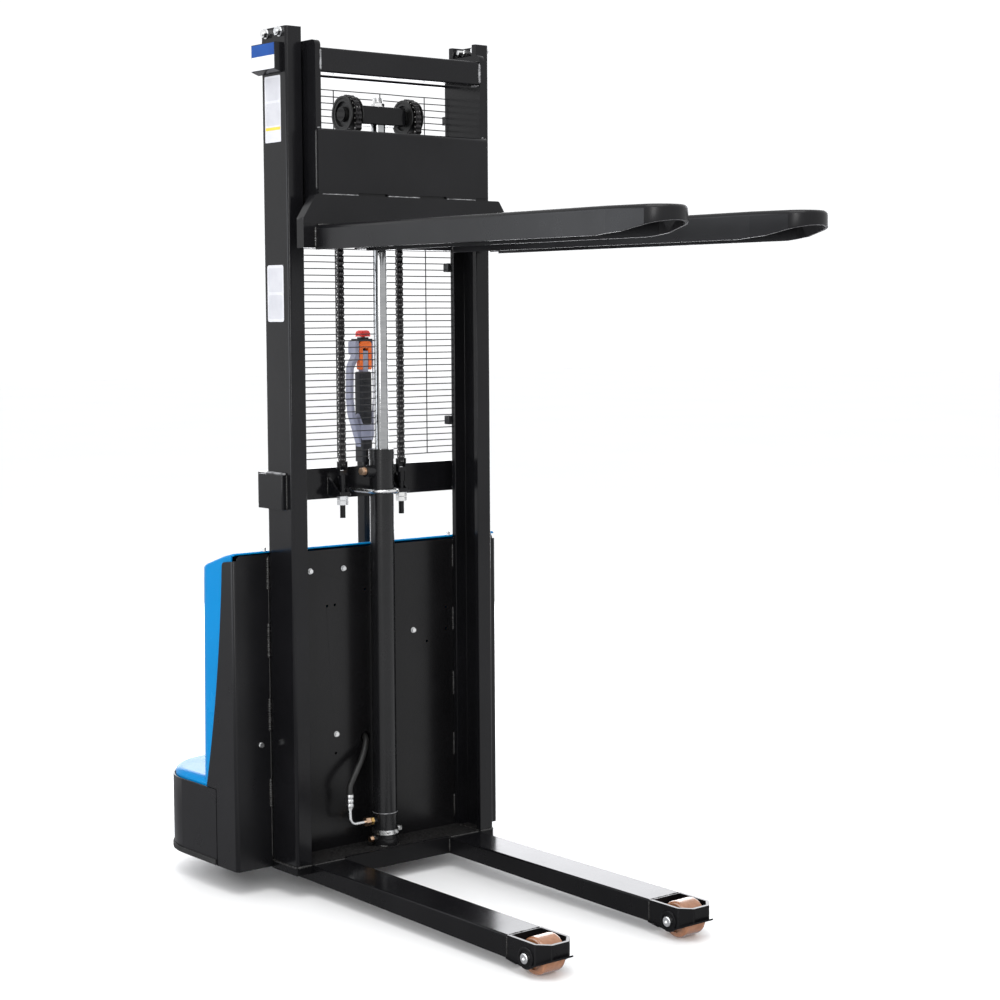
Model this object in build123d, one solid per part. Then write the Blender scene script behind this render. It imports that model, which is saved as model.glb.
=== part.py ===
from build123d import *
import os
import math

# ---------------------------------------------------------------- driving dimensions (mm)
# X forward along the forks (0 at the mast's front face), Y to the left, Z up, floor at Z = GROUND
GROUND = 6.0
MAST_TOP = 2068.0
MAST_HALF = 300.0          # outer face of an upright
MAST_DEPTH = 108.0
FLANGE_W = 43.0
FLANGE_T = 15.0
WEB_T = 10.0
BASE_TOP = 82.0
LEG_IN, LEG_OUT = 158.0, 255.0
LEG_END = 738.0
LEG_WALL = 6.0
BRACKET_END = 858.0
WHEEL_R = 41.0
WHEEL_W = 60.0
WHEEL_X = 802.0
WHEEL_Z = GROUND + WHEEL_R
FORK_IN, FORK_OUT = 125.0, 274.0
FORK_TOP = 1607.0
FORK_H = 57.0
FORK_HEEL = 74.0
FORK_TIP = 1204.0
NOSE_R = 60.0
FORK_WALL = 6.0
LIFT = 1510.0              # carriage travel
CYL_X = -57.0
BARREL_R = 30.0
BORE_R = 25.0
ROD_R = 17.5
SHEAVE_Z = 1880.0
SHEAVE_Y = 89.0
CHAIN_R = 41.0             # chain centre line on the sheave
CHAIN_W = 17.4
GROOVE_W = 28.6
CHAIN_T = 12.2
ROLLER_R = 38.7
ROLLER_X = -54.0
ROLLER_ZU, ROLLER_ZL = 1998.0, 1652.0
PLATE_IN, PLATE_OUT = 235.0, 250.0
BODY_HALF = 400.0
BODY_BOTTOM = 66.0
FIREWALL_TOP = 827.0
SKIRT_TOP = 254.0
SKIRT_REAR = -530.0
STEER_X, STEER_Y = -352.0, 155.0
DRIVE_R, DRIVE_W = 102.0, 70.0
DRIVE_Z = GROUND + DRIVE_R
CASTOR_X, CASTOR_Y = -352.0, -225.0
CASTOR_R, CASTOR_W = 62.0, 45.0
CASTOR_Z = GROUND + CASTOR_R
TILLER_Z = 312.0
X_SHIFT = -(FORK_TIP + SKIRT_REAR) / 2.0   # puts the origin under the middle of the bounding box

os.makedirs("parts", exist_ok=True)


# ---------------------------------------------------------------- helpers
def bx(x0, x1, y0, y1, z0, z1):
    return Pos((x0 + x1) / 2, (y0 + y1) / 2, (z0 + z1) / 2) * Box(abs(x1 - x0), abs(y1 - y0), abs(z1 - z0))


def cx(r, x0, x1, y, z):
    return Pos((x0 + x1) / 2, y, z) * Rot(0, 90, 0) * Cylinder(r, abs(x1 - x0))


def cy(r, y0, y1, x, z):
    return Pos(x, (y0 + y1) / 2, z) * Rot(90, 0, 0) * Cylinder(r, abs(y1 - y0))


def cz(r, z0, z1, x, y):
    return Pos(x, y, (z0 + z1) / 2) * Cylinder(r, abs(z1 - z0))


def hex_prism(af, length):
    return extrude(RegularPolygon(af / 2, 6, major_radius=False), length)


def hx(af, x0, x1, y, z):
    return Pos(x0, y, z) * Rot(0, 90, 0) * hex_prism(af, x1 - x0)


def hy(af, y0, y1, x, z):
    return Pos(x, y0, z) * Rot(-90, 0, 0) * hex_prism(af, y1 - y0)


def hz(af, z0, z1, x, y):
    return Pos(x, y, z0) * hex_prism(af, z1 - z0)


def prism_xz(points, y0, y1):
    """Polygon in the XZ plane, extruded along Y."""
    f = make_face(Polyline(*[(p[0], 0, p[1]) for p in points], close=True))
    return Pos(0, y0, 0) * extrude(f, y1 - y0, dir=(0, 1, 0))


def prism_xy(points, z0, z1):
    f = make_face(Polyline(*[(p[0], p[1], 0) for p in points], close=True))
    return Pos(0, 0, z0) * extrude(f, z1 - z0, dir=(0, 0, 1))


def flip(s):
    return mirror(s, about=Plane.XZ)


def edges_at(s, axis, **lims):
    """Edges along an axis whose centre lies inside the given limits."""
    out = ShapeList()
    for e in s.edges().filter_by(axis):
        c = e.center()
        ok = True
        for k, (lo, hi) in lims.items():
            v = getattr(c, k)
            if not (lo <= v <= hi):
                ok = False
        if ok:
            out.append(e)
    return out


NODES = {}


def node(name, *shapes):
    sol = []
    for s in shapes:
        sol += list(s.solids())
    moved = [Pos(X_SHIFT, 0, -GROUND) * s for s in sol]
    NODES[name] = moved
    shape = moved[0] if len(moved) == 1 else Compound(moved)
    export_step(shape, "parts/" + name + ".step")


# ---------------------------------------------------------------- mast
def channel():
    """Right upright, C section open towards the centre."""
    s = bx(-MAST_DEPTH, 0, -MAST_HALF, -MAST_HALF + FLANGE_W, BASE_TOP, MAST_TOP)
    s -= bx(-MAST_DEPTH + FLANGE_T, -FLANGE_T, -MAST_HALF + WEB_T, -MAST_HALF + FLANGE_W + 1, BASE_TOP - 1, MAST_TOP + 1)
    s = fillet(edges_at(s, Axis.Z, Y=(-MAST_HALF - 1, -MAST_HALF + 1)), 7.0)
    s = fillet(edges_at(s, Axis.Z, Y=(-MAST_HALF + WEB_T - 0.5, -MAST_HALF + WEB_T + 0.5)), 1.2)
    s = fillet(edges_at(s, Axis.Z, Y=(-MAST_HALF + FLANGE_W - 0.5, -MAST_HALF + FLANGE_W + 0.5)), 2.0)
    for x in STOP_X:
        s -= cy(6.2, -MAST_HALF - 1, -MAST_HALF + WEB_T + 1, x, STOP_Z)
    return s


STOP_X = (-82.5, -25.0)
STOP_Z = 2056.0
right_channel = channel()
node("mast_channel_right", right_channel)
node("mast_channel_left", flip(right_channel))

# base crossmember: wide plate under the uprights, box between the legs, raised front bar
base = bx(-112, 0, -MAST_HALF, MAST_HALF, 62, BASE_TOP)
base += bx(-112, 0, -LEG_OUT, LEG_OUT, 42, 62)
base += bx(-9, 0, -LEG_IN + 2, LEG_IN - 2, BASE_TOP, BASE_TOP + 3)
node("base_crossmember", base)

# support legs: inverted U, the lower edges drop slightly towards the front
def leg():
    s = prism_xz([(0, 42), (LEG_END, 32), (LEG_END, BASE_TOP), (0, BASE_TOP)], -LEG_OUT, -LEG_IN)
    s = fillet(edges_at(s, Axis.X, Z=(BASE_TOP - 0.5, BASE_TOP + 0.5)), 4.0)
    s -= bx(LEG_WALL, LEG_END - LEG_WALL, -LEG_OUT + LEG_WALL, -LEG_IN - LEG_WALL, 0, BASE_TOP - LEG_WALL)
    return s


right_leg = leg()
node("support_leg_right", right_leg)
node("support_leg_left", flip(right_leg))

# wheel brackets: closed loops with a chamfered nose, a lip that rises round the nose, dished bosses round the axle
BRACKET_TOP = BASE_TOP
def bracket():
    o = prism_xy([(LEG_END, -LEG_IN), (LEG_END, -LEG_OUT), (831, -LEG_OUT), (BRACKET_END, -230), (BRACKET_END, -183), (831, -LEG_IN)], 22, BRACKET_TOP)
    o = fillet(edges_at(o, Axis.Z, X=(830, 870)), 6.0)
    hollow = prism_xy([(LEG_END + 6, -LEG_IN - 7), (LEG_END + 6, -LEG_OUT + 7), (828, -LEG_OUT + 7), (BRACKET_END - 8, -227.5), (BRACKET_END - 8, -185.5), (828, -LEG_IN - 7)], 0, 100)
    # lower edge: down to the axle, then up under the nose
    o -= prism_xz([(LEG_END - 1, 15), (LEG_END - 1, 31.5), (787, 24.5), (812, 24.5), (822, 31), (870, 51), (870, 15)], -300, -100)
    lip = prism_xy([(818, -LEG_OUT - 4), (834, -LEG_OUT - 4), (BRACKET_END + 9, -233.5), (BRACKET_END + 9, -179.5), (834, -LEG_IN + 4), (818, -LEG_IN + 4)], 20, 70)
    lip = fillet(edges_at(lip, Axis.Z, X=(830, 870)), 8.0)
    lip &= prism_xz([(817, 28.9), (870, 51), (870, 55), (817, 32.9)], -300, -100)
    o += lip
    for y0, y1 in ((-LEG_OUT - 4, -LEG_OUT), (-LEG_IN, -LEG_IN + 4)):
        o += prism_xz([(LEG_END, 31.5), (772, 26.8), (772, 29.8), (LEG_END, 35.0)], y0, y1)
    o -= hollow
    for sgn, ye in ((-1, -LEG_OUT), (1, -LEG_IN)):
        disc = cy(24.5, ye - sgn * 7, ye + sgn * 3.5, WHEEL_X, WHEEL_Z)
        disc = fillet(disc.edges().filter_by(GeomType.CIRCLE).filter_by(lambda e: abs(e.center().Y - (ye + sgn * 3.5)) < 0.2), 2.5)
        disc -= cy(18.0, ye + sgn * 1.5, ye + sgn * 5, WHEEL_X, WHEEL_Z)
        o += disc
    o -= cy(10.05, -LEG_OUT - 10, -LEG_IN + 10, WHEEL_X, WHEEL_Z)
    return o


right_bracket = bracket()
node("wheel_brackets", right_bracket, flip(right_bracket))

# load roller axles: shaft with a round socket head on each side
def axle():
    s = cy(10.0, -LEG_OUT - 1.5, -LEG_IN + 1.5, WHEEL_X, WHEEL_Z)
    for sgn, ye in ((-1, -LEG_OUT), (1, -LEG_IN)):
        h = cy(11.8, ye + sgn * 1.5, ye + sgn * 8.0, WHEEL_X, WHEEL_Z)
        h = fillet(h.edges().filter_by(GeomType.CIRCLE).filter_by(lambda e: abs(e.center().Y - (ye + sgn * 8.0)) < 0.2), 2.5)
        y0, y1 = ye + sgn * 5.0, ye + sgn * 9.0
        h -= hy(8, min(y0, y1), max(y0, y1), WHEEL_X, WHEEL_Z)
        s += h
    return s


right_axle = axle()
node("load_wheel_axles", right_axle, flip(right_axle))

# load rollers: polyurethane tread on a hub, rounded shoulders
def load_wheel():
    yc = -(LEG_IN + LEG_OUT) / 2
    t = cy(WHEEL_R, yc - WHEEL_W / 2, yc + WHEEL_W / 2, WHEEL_X, WHEEL_Z)
    t = fillet(t.edges().filter_by(GeomType.CIRCLE), 7.0)
    t += cy(17.0, yc - 38.8, yc + 38.8, WHEEL_X, WHEEL_Z)
    for sgn in (-1, 1):
        ring = cy(29, yc + sgn * (WHEEL_W / 2 + 1), yc + sgn * (WHEEL_W / 2 - 6), WHEEL_X, WHEEL_Z) - cy(17, yc - 60, yc + 60, WHEEL_X, WHEEL_Z)
        t -= ring
    t -= cy(10.06, yc - 60, yc + 60, WHEEL_X, WHEEL_Z)
    return t


right_wheel = load_wheel()
node("load_wheel_right", right_wheel)
node("load_wheel_left", flip(right_wheel))

# mast cross members: top tie behind the uprights, mid crossbar with chain lugs
XB_F, XB_B = -138.0, -148.0
tie = bx(-122, -MAST_DEPTH, -299, 299, 1970, 1976)
xbar = bx(XB_B, XB_F, -MAST_HALF, MAST_HALF, 949, 1025)
for sgn in (-1, 1):
    xbar += bx(XB_F, -MAST_DEPTH, sgn * 288, sgn * MAST_HALF, 949, 1025)
    yl0, yl1 = sgn * 72.0, sgn * 106.0
    lug = bx(XB_F, -84, yl0, yl1, 957, 967)
    lug = fillet(edges_at(lug, Axis.Z, X=(-85, -83)), 6.0)
    xbar += lug
    for y0 in (72.0, 100.0):
        a, b = sgn * y0, sgn * (y0 + 6.0)
        xbar += prism_xz([(XB_F, 967), (-92, 967), (XB_F, 1004)], min(a, b), max(a, b))
    xbar -= cz(7.3, 940, 975, CYL_X - CHAIN_R, sgn * SHEAVE_Y)
    # holes for the cylinder clamp
    xbar -= cx(5.3, XB_B - 1, XB_F + 1, sgn * 37.0, 968)

# welded side plates on the outer faces at crossbar height
sp = bx(-127, -22, -MAST_HALF - 14, -MAST_HALF, 941, 1023)
sp = fillet(edges_at(sp, Axis.Z, Y=(-MAST_HALF - 15, -MAST_HALF - 13)), 2.5)
node("mast_crossbars", tie, xbar, sp, flip(sp))

# chain anchors: eye, stud and two nuts under each lug
def anchor(sgn):
    x, y = CYL_X - CHAIN_R, sgn * SHEAVE_Y
    s = cz(7.0, 903, 1010, x, y) + cz(9.0, 985, 1010, x, y)
    eye = bx(x - 6, x + 6, y - 11.6, y + 11.6, 1008, 1042)
    eye -= bx(x - 8, x + 8, y - 9.1, y + 9.1, 1020, 1043)
    eye -= cy(3.05, y - 20, y + 20, x, 1034)
    s += eye
    n1 = hz(24, 946.5, 957, x, y) - cz(7.0, 940, 960, x, y)
    n2 = hz(24, 935, 945.5, x, y) - cz(7.0, 930, 950, x, y)
    pin = cy(3.0, y - 13.2, y + 13.2, x, 1034)
    return [s, n1, n2, pin]


node("chain_anchors", *(anchor(-1) + anchor(1)))

# stop bolts in the upright tops and zinc screws of panels and covers
fast = []
for sgn in (-1, 1):
    for x in STOP_X:
        b = cy(6.0, sgn * (MAST_HALF - 34), sgn * (MAST_HALF + 14), x, STOP_Z)
        b += cy(11.5, sgn * MAST_HALF, sgn * (MAST_HALF + 2.5), x, STOP_Z)
        b += hy(18, min(sgn * (MAST_HALF + 2.5), sgn * (MAST_HALF + 11.5)), max(sgn * (MAST_HALF + 2.5), sgn * (MAST_HALF + 11.5)), x, STOP_Z)
        n = hy(16, min(sgn * (MAST_HALF - WEB_T), sgn * (MAST_HALF - WEB_T - 9)), max(sgn * (MAST_HALF - WEB_T), sgn * (MAST_HALF - WEB_T - 9)), x, STOP_Z)
        fast.append(b + n)
PANEL_SCREWS = [(-83, 777), (-181, 777), (129, 602), (-110, 366)]
for y, z in PANEL_SCREWS:
    fast.append(cx(7.0, -108, -106.6, y, z) + hx(10, -106.6, -101.5, y, z))
SIDE_SCREWS = [(-328, 368), (328, 368)]
for y, z in SIDE_SCREWS:
    fast.append(cx(7.0, -108, -106.6, y, z) + hx(10, -106.6, -101.5, y, z))
node("zinc_fasteners", *fast)

# ---------------------------------------------------------------- hydraulics
barrel = cz(BARREL_R, 96, 1046, CYL_X, 0) - cz(BORE_R, 112, 1100, CYL_X, 0)
barrel += cz(BARREL_R + 0.8, 156, 164, CYL_X, 0) - cz(BORE_R, 112, 300, CYL_X, 0)
foot = cz(34, BASE_TOP, 98, CYL_X, 0)
barrel += foot
barrel += cy(8.0, -38, -BARREL_R + 4, CYL_X, 146) - cz(BORE_R, 112, 300, CYL_X, 0)
BLEED_Z = 1018.0
barrel += cy(14.5, -50, -BARREL_R + 8, CYL_X, BLEED_Z) - cz(BORE_R, 112, 1100, CYL_X, 0)
barrel -= cy(6.0, -51, -40, CYL_X, BLEED_Z)
DRAIN_Z = 100.0
barrel += cy(9.5, -39, -BARREL_R + 6, CYL_X, DRAIN_Z) - cz(BORE_R, 112, 300, CYL_X, 0)
barrel -= cy(5.0, -40, -31, CYL_X, DRAIN_Z)
node("cylinder_barrel", barrel)

gland = cz(BARREL_R + 1.5, 1046, 1071, CYL_X, 0) + cz(BORE_R - 0.05, 1016, 1046, CYL_X, 0)
gland -= cz(ROD_R + 0.05, 1000, 1100, CYL_X, 0)
node("cylinder_gland", gland)

# U-bolt round the barrel and the clamp band at the foot
ub_r = 5.0
ub_path = Polyline((XB_B - 14, -37, 968), (CYL_X, -37, 968)) + ThreePointArc((CYL_X, -37, 968), (CYL_X + 37, 0, 968), (CYL_X, 37, 968)) + Polyline((CYL_X, 37, 968), (XB_B - 14, 37, 968))
ubolt = sweep(Plane(origin=(XB_B - 14, -37, 968), z_dir=(1, 0, 0)) * Circle(ub_r), path=ub_path)
ubn = [hx(17, XB_B - 9, XB_B, sgn * 37.0, 968) - cx(ub_r, XB_B - 20, XB_B + 5, sgn * 37.0, 968) for sgn in (-1, 1)]
band = cz(BARREL_R + 3.0, 110.5, 121.5, CYL_X, 0)
band += bx(CYL_X - 6, CYL_X + 6, BARREL_R + 1, BARREL_R + 16, 110.5, 121.5)
band += hx(8, CYL_X + 5.5, CYL_X + 10, BARREL_R + 9.5, 116)
for y in (-12.0, 12.0):
    band += hx(7, CYL_X + BARREL_R - 1.0, CYL_X + BARREL_R + 4.0, y, 116)
band -= cz(BARREL_R, 100, 130, CYL_X, 0)
node("cylinder_clamps", ubolt, ubn[0], ubn[1], band)

# hose: out of the firewall, down to a crimped end, bent steel tube, brass port fitting
HOSE_R = 7.5
hose_pts = [(-124, -16, 352), (-98, -26, 340), (-78, -52, 304), (-64, -86, 268), (-60, -105, 240), (-60, -105, 222)]
def vec(a, b):
    return tuple(b[i] - a[i] for i in range(3))
def run_len(a, b):
    return math.sqrt(sum((b[i] - a[i]) ** 2 for i in range(3)))
radii = []
for i in range(1, len(hose_pts) - 1):
    a, b, c = hose_pts[i - 1], hose_pts[i], hose_pts[i + 1]
    u, v = Vector(*vec(a, b)), Vector(*vec(b, c))
    turn = math.radians(u.get_angle(v))
    radii.append(0.45 * min(run_len(a, b), run_len(b, c)) / math.tan(turn / 2))
print("hose radii", [round(r, 1) for r in radii])
hose_path = FilletPolyline(*hose_pts, radius=radii)
hose = sweep(Plane(origin=hose_pts[0], z_dir=vec(hose_pts[0], hose_pts[1])) * Circle(HOSE_R), path=hose_path)
print("hose volume", round(hose.volume, 1), "section x length", round(math.pi * HOSE_R ** 2 * hose_path.length, 1))
node("lift_hose", hose)

end_dir = vec(hose_pts[-2], hose_pts[-1])
el = run_len(hose_pts[-2], hose_pts[-1])
e0 = Vector(*hose_pts[-1])
ed = Vector(*end_dir) / el
ferr = extrude(Plane(origin=tuple(e0), z_dir=tuple(ed)) * Circle(9.6), 34.0)
ferr += extrude(Plane(origin=tuple(e0 + ed * 34.0), z_dir=tuple(ed)) * Circle(7.0), 5.0)
t0 = tuple(e0 + ed * 38.0)
t1 = (CYL_X, t0[1], 146)
tp = FilletPolyline(t0, t1, (CYL_X, -62, 146), radius=16.0)
tube = sweep(Plane(origin=t0, z_dir=vec(t0, t1)) * Circle(4.6), path=tp)
node("hose_end_tube", ferr + tube)

port = hy(20, -62, -49, CYL_X, 146) + hy(17, -46, -38, CYL_X, 146) + cy(7.0, -50, -45, CYL_X, 146)
plug = cy(6.0, -50, -40, CYL_X, BLEED_Z) + cy(10.5, -53.5, -50, CYL_X, BLEED_Z) + hy(17, -63, -53.5, CYL_X, BLEED_Z)
drain = cy(5.0, -39, -31, CYL_X, DRAIN_Z) + cy(8.0, -41, -39, CYL_X, DRAIN_Z) + hy(13, -48, -41, CYL_X, DRAIN_Z)
node("brass_fittings", port, plug, drain)

# ---------------------------------------------------------------- body
fw = bx(-111, -MAST_DEPTH, -299, 299, BODY_BOTTOM, FIREWALL_TOP)
fw -= bx(-120, -100, -310, 310, 0, BASE_TOP)
fw -= cx(14.0, -120, -100, -21, 346)
for y, z in [(-132, 687), (-109, 688), (-18, 719), (235, 651), (235, 596), (173, 569), (-111, 318)]:
    fw -= cx(3.2, -120, -100, y, z)
node("firewall_panel", fw)

# side sheets: front strip outside the upright, bend, trapezoid side with a lower top edge
SIDE_TOP, STRIP_TOP = 818.0, 829.0
def side_sheet():
    t = 3.0
    edge = ThreePointArc((-157, 0, 812), (-191, 0, 510), (-244, 0, 256))
    rim = Polyline((-244, 0, 256), (-200, 0, 254), (-200, 0, BODY_BOTTOM), (-MAST_DEPTH, 0, BODY_BOTTOM), (-MAST_DEPTH, 0, SIDE_TOP), (-157, 0, 812))
    side = Pos(0, -BODY_HALF, 0) * extrude(make_face(edge + rim), t, dir=(0, 1, 0))
    side = fillet(edges_at(side, Axis.Y, X=(-160, -154), Z=(800, 820)), 11.0)
    s = side + bx(-MAST_DEPTH - t, -MAST_DEPTH, -BODY_HALF, -MAST_HALF, BODY_BOTTOM, SIDE_TOP)
    s = fillet(edges_at(s, Axis.Z, X=(-MAST_DEPTH - 0.5, -MAST_DEPTH + 0.5), Y=(-BODY_HALF - 0.5, -BODY_HALF + 0.5)), 9.0)
    s = fillet(edges_at(s, Axis.Z, X=(-MAST_DEPTH - t - 0.5, -MAST_DEPTH - t + 0.5), Y=(-BODY_HALF + t - 0.5, -BODY_HALF + t + 0.5)), 6.0)
    up = bx(-MAST_DEPTH - t, -MAST_DEPTH, -BODY_HALF + 12, -MAST_HALF, SIDE_TOP, STRIP_TOP)
    up = fillet(edges_at(up, Axis.X, Y=(-BODY_HALF + 11, -BODY_HALF + 13), Z=(STRIP_TOP - 1, STRIP_TOP + 1)), 9.0)
    return s + up


right_side = side_sheet()
node("body_side_right", right_side)
node("body_side_left", flip(right_side))

# drive skirt: rounded U in plan
def skirt_plan(inset, x_front):
    h = BODY_HALF - inset
    r = 150.0 - inset
    xc = -365.0
    rear = -515.0 + inset
    bow = SKIRT_REAR + inset
    yr = BODY_HALF - 150.0
    c45 = math.cos(math.radians(45))
    l1 = Line((x_front, -h), (xc, -h))
    a1 = ThreePointArc((xc, -h), (xc - r * c45, -yr - r * c45), (rear, -yr))
    a2 = ThreePointArc((rear, -yr), (bow, 0), (rear, yr))
    a3 = ThreePointArc((rear, yr), (xc - r * c45, yr + r * c45), (xc, h))
    l2 = Line((xc, h), (x_front, h))
    l3 = Line((x_front, h), (x_front, -h))
    return make_face(l1 + a1 + a2 + a3 + l2 + l3)


skirt = Pos(0, 0, BODY_BOTTOM) * extrude(skirt_plan(0, -200.5), SKIRT_TOP - BODY_BOTTOM - 0.5)
skirt -= Pos(0, 0, 0) * extrude(skirt_plan(4.0, -100.0), 400)
node("drive_skirt", skirt)

# upper cover: moulded shell behind the firewall, sloped top, rounded rear corners, rear face leaning
def cover_solid(inset, x_front, z_low):
    i = inset
    pts = [(x_front, z_low), (x_front, 836 - i), (-118, 836 - i), (-160, 826.5 - i), (-257, 796 - i), (-286 + i, 764 - i), (-297 + i, 251)]
    if z_low < 251:
        pts.append((-297 + i, z_low))
    s = prism_xz(pts, -396 + i, 396 - i)
    long = ShapeList([e for e in s.edges() if e.center().X < -285 + i and e.center().Z < 600 and abs(e.center().Y) > 380 and e.bounding_box().size.Z > 5])
    s = fillet(long, 55.0 - i)
    s = fillet(s.edges().filter_by(Axis.Y).filter_by(lambda e: -262 < e.center().X < -150 and e.center().Z > 700), 24.0 - i * 0.5)
    return s


cov = cover_solid(0.0, -112.0, 251.0)
cov = fillet(cov.edges().filter_by(lambda e: abs(e.center().Y) > 395.5 and e.center().Z > 790 and e.center().X < -113.0), 7.0)
cov -= cover_solid(4.0, -90.0, 240.0)
for sgn in (-1, 1):
    cov -= bx(-122, -100, sgn * 384, sgn * 402, 200, 830)
cov -= cz(5.5, 800, 850, -122, 7)
ESTOP = (-60.0, 690.0)
KEY = (-150.0, 690.0)
cov -= cx(12.0, -300, -270, ESTOP[0], ESTOP[1])
cov -= cx(12.0, -300, -270, KEY[0], KEY[1])
node("cover_upper", cov)

# lower cover: rounded deck over the drive, wrapped round the upper cover's corners, opening for the tiller yoke
LOW_TOP = 272.0
low = Pos(0, 0, 247) * extrude(skirt_plan(6.0, -240.0), LOW_TOP - 247)
low = fillet(low.faces().sort_by(Axis.Z)[-1].edges().filter_by(lambda e: e.center().X < -245), 16.0)
lin = Pos(0, 0, 240) * extrude(skirt_plan(10.0, -230.0), LOW_TOP - 244)
lin = fillet(lin.faces().sort_by(Axis.Z)[-1].edges().filter_by(lambda e: e.center().X < -245), 13.0)
low -= lin
low -= cover_solid(0.0, -112.0, 240.0)
low += cz(72, 262, 286, STEER_X, STEER_Y) - cover_solid(0.0, -112.0, 240.0)
low -= cz(66, 200, 400, STEER_X, STEER_Y)
node("cover_lower", low)

# wire guard behind the mast, with its clips
MESH_X = -131.0
zs = [1048.5 + 16.0 * i for i in range(57)]
bars = [bx(MESH_X - 1.25, MESH_X + 1.25, -290, 290, z - 1.25, z + 1.25) for z in zs]
vert = [bx(MESH_X - 1.75, MESH_X + 1.25, y - 1.5, y + 1.5, zs[0] - 1.25, zs[-1] + 1.25) for y in (-286, -215, -78, 61, 198, 286)]
guard = vert[0]
guard = guard.fuse(*vert[1:], *bars)
clips = []
for sgn in (-1, 1):
    for z in (1131, 1519, 1888):
        c = bx(-128.9, -MAST_DEPTH, sgn * 250, sgn * 280, z - 11, z + 11)
        c += bx(-136, -128.9, sgn * 262.6, sgn * 280, z - 11, z + 11)
        for zw in zs:
            if abs(zw - z) < 13:
                c -= bx(MESH_X - 1.4, MESH_X + 1.4, sgn * 240, sgn * 300, zw - 1.4, zw + 1.4)
        clips.append(c)
node("mesh_guard", guard, *clips)

# blank plate box near the top of the right upright
def plate_box(inset, y_in):
    f = make_face(Polyline((0, -320 + inset, 1969 + inset), (0, -320 + inset, 2031 - inset), (0, y_in, 2031 - inset), (0, y_in, 1962 + inset), close=True))
    return Pos(-119 + inset, 0, 0) * extrude(f, 102 - 2 * inset, dir=(1, 0, 0))


cap = plate_box(0.0, -MAST_HALF)
cap = fillet(edges_at(cap, Axis.Z, Y=(-321, -319)), 2.0)
cap -= plate_box(2.5, -MAST_HALF + 1) - bx(-100, -50, -318, -MAST_HALF, 1988, 2012)
node("capacity_plate", cap)

# ---------------------------------------------------------------- rear chassis, drive and inside
rc = bx(-122, -112, -390, 390, 70, 246)
plate_pts = [(-112, -386), (-112, 386), (-360, 386), (-470, 300), (-500, 200), (-500, -200), (-470, -300), (-360, -386)]
rc += prism_xy(plate_pts, 238, 246)
for sgn in (-1, 1):
    rc += bx(-200, -122, sgn * 382, sgn * 390, 90, 246)
rc -= cz(70.0, 200, 300, STEER_X, STEER_Y)
rc -= cz(18.05, 200, 300, CASTOR_X, CASTOR_Y)
rc -= bx(-130, -100, -60, 60, 120, 200)
node("rear_chassis", rc)

bat = []
for y0 in (-364.0, -128.0):
    b = bx(-266, -132, y0, y0 + 228, 246, 450)
    b = fillet(edges_at(b, Axis.Z), 6.0)
    for dy in (46, 182):
        b += cz(9, 450, 464, -199, y0 + dy)
    bat.append(b)
node("battery_pack", *bat)

tank = bx(-270, -126, 120, 250, 246, 430)
tank = fillet(edges_at(tank, Axis.Z), 12.0)
valve = bx(-240, -150, 255, 300, 260, 400)
tank += bx(-235, -155, 249, 256, 270, 390)
tank += valve
motor = cz(52, 246, 420, -196, 335) + cz(46, 420, 436, -196, 335)
motor += bx(-220, -172, 296, 330, 300, 340)
node("hydraulic_power_unit", tank, motor - bx(-400, 0, 0, 300, 0, 600))

ctl = bx(-168, -111, -150, 40, 520, 640)
for i in range(9):
    ctl -= bx(-172, -150, -146 + i * 21, -136 + i * 21, 510, 650)
node("motor_controller", ctl)

# drive unit: swivel flange, yoke, gearcase on one side and motor on the other
du = cz(69.7, 218, 247, STEER_X, STEER_Y)
du += cz(52, 212, 220, STEER_X, STEER_Y)
du += bx(STEER_X - 45, STEER_X + 45, STEER_Y - 64, STEER_Y + 64, 212, 220)
gear = cy(60, STEER_Y + 39, STEER_Y + 64, STEER_X, DRIVE_Z) + bx(STEER_X - 45, STEER_X + 45, STEER_Y + 39, STEER_Y + 64, DRIVE_Z, 214)
du += gear
du += bx(STEER_X - 35, STEER_X + 35, STEER_Y - 64, STEER_Y - 39, DRIVE_Z, 214)
du += cy(48, STEER_Y - 110, STEER_Y - 39, STEER_X, DRIVE_Z)
du += cy(14.0, STEER_Y - 45, STEER_Y + 45, STEER_X, DRIVE_Z)
node("drive_unit", du)

dw = cy(DRIVE_R, STEER_Y - DRIVE_W / 2, STEER_Y + DRIVE_W / 2, STEER_X, DRIVE_Z)
dw = fillet(dw.edges().filter_by(GeomType.CIRCLE), 6.0)
for sgn in (-1, 1):
    dw -= cy(74, STEER_Y + sgn * 30, STEER_Y + sgn * 40, STEER_X, DRIVE_Z) - cy(40, STEER_Y - 60, STEER_Y + 60, STEER_X, DRIVE_Z)
dw += cy(40, STEER_Y - 38, STEER_Y + 38, STEER_X, DRIVE_Z)
dw -= cy(14.06, STEER_Y - 60, STEER_Y + 60, STEER_X, DRIVE_Z)
node("drive_wheel", dw)

# castor: swivel stem and fork with trail
TRAIL = 30.0
cwx = CASTOR_X - TRAIL
cf = cz(18.0, 200, 246, CASTOR_X, CASTOR_Y) + cz(45, 188, 210, CASTOR_X, CASTOR_Y) + cz(30, 246.3, 254, CASTOR_X, CASTOR_Y) + cz(18.0, 240, 250, CASTOR_X, CASTOR_Y)
cf += bx(cwx - 20, CASTOR_X + 30, CASTOR_Y - 34, CASTOR_Y + 34, 182, 192)
for sgn in (-1, 1):
    y0, y1 = CASTOR_Y + sgn * 28, CASTOR_Y + sgn * 34
    cf += prism_xz([(cwx - 18, CASTOR_Z), (cwx + 18, CASTOR_Z), (CASTOR_X + 28, 184), (cwx - 20, 184)], min(y0, y1), max(y0, y1))
    cf += cy(18, min(y0, y1), max(y0, y1), cwx, CASTOR_Z)
cf += cy(9.0, CASTOR_Y - 40, CASTOR_Y + 40, cwx, CASTOR_Z)
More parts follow.
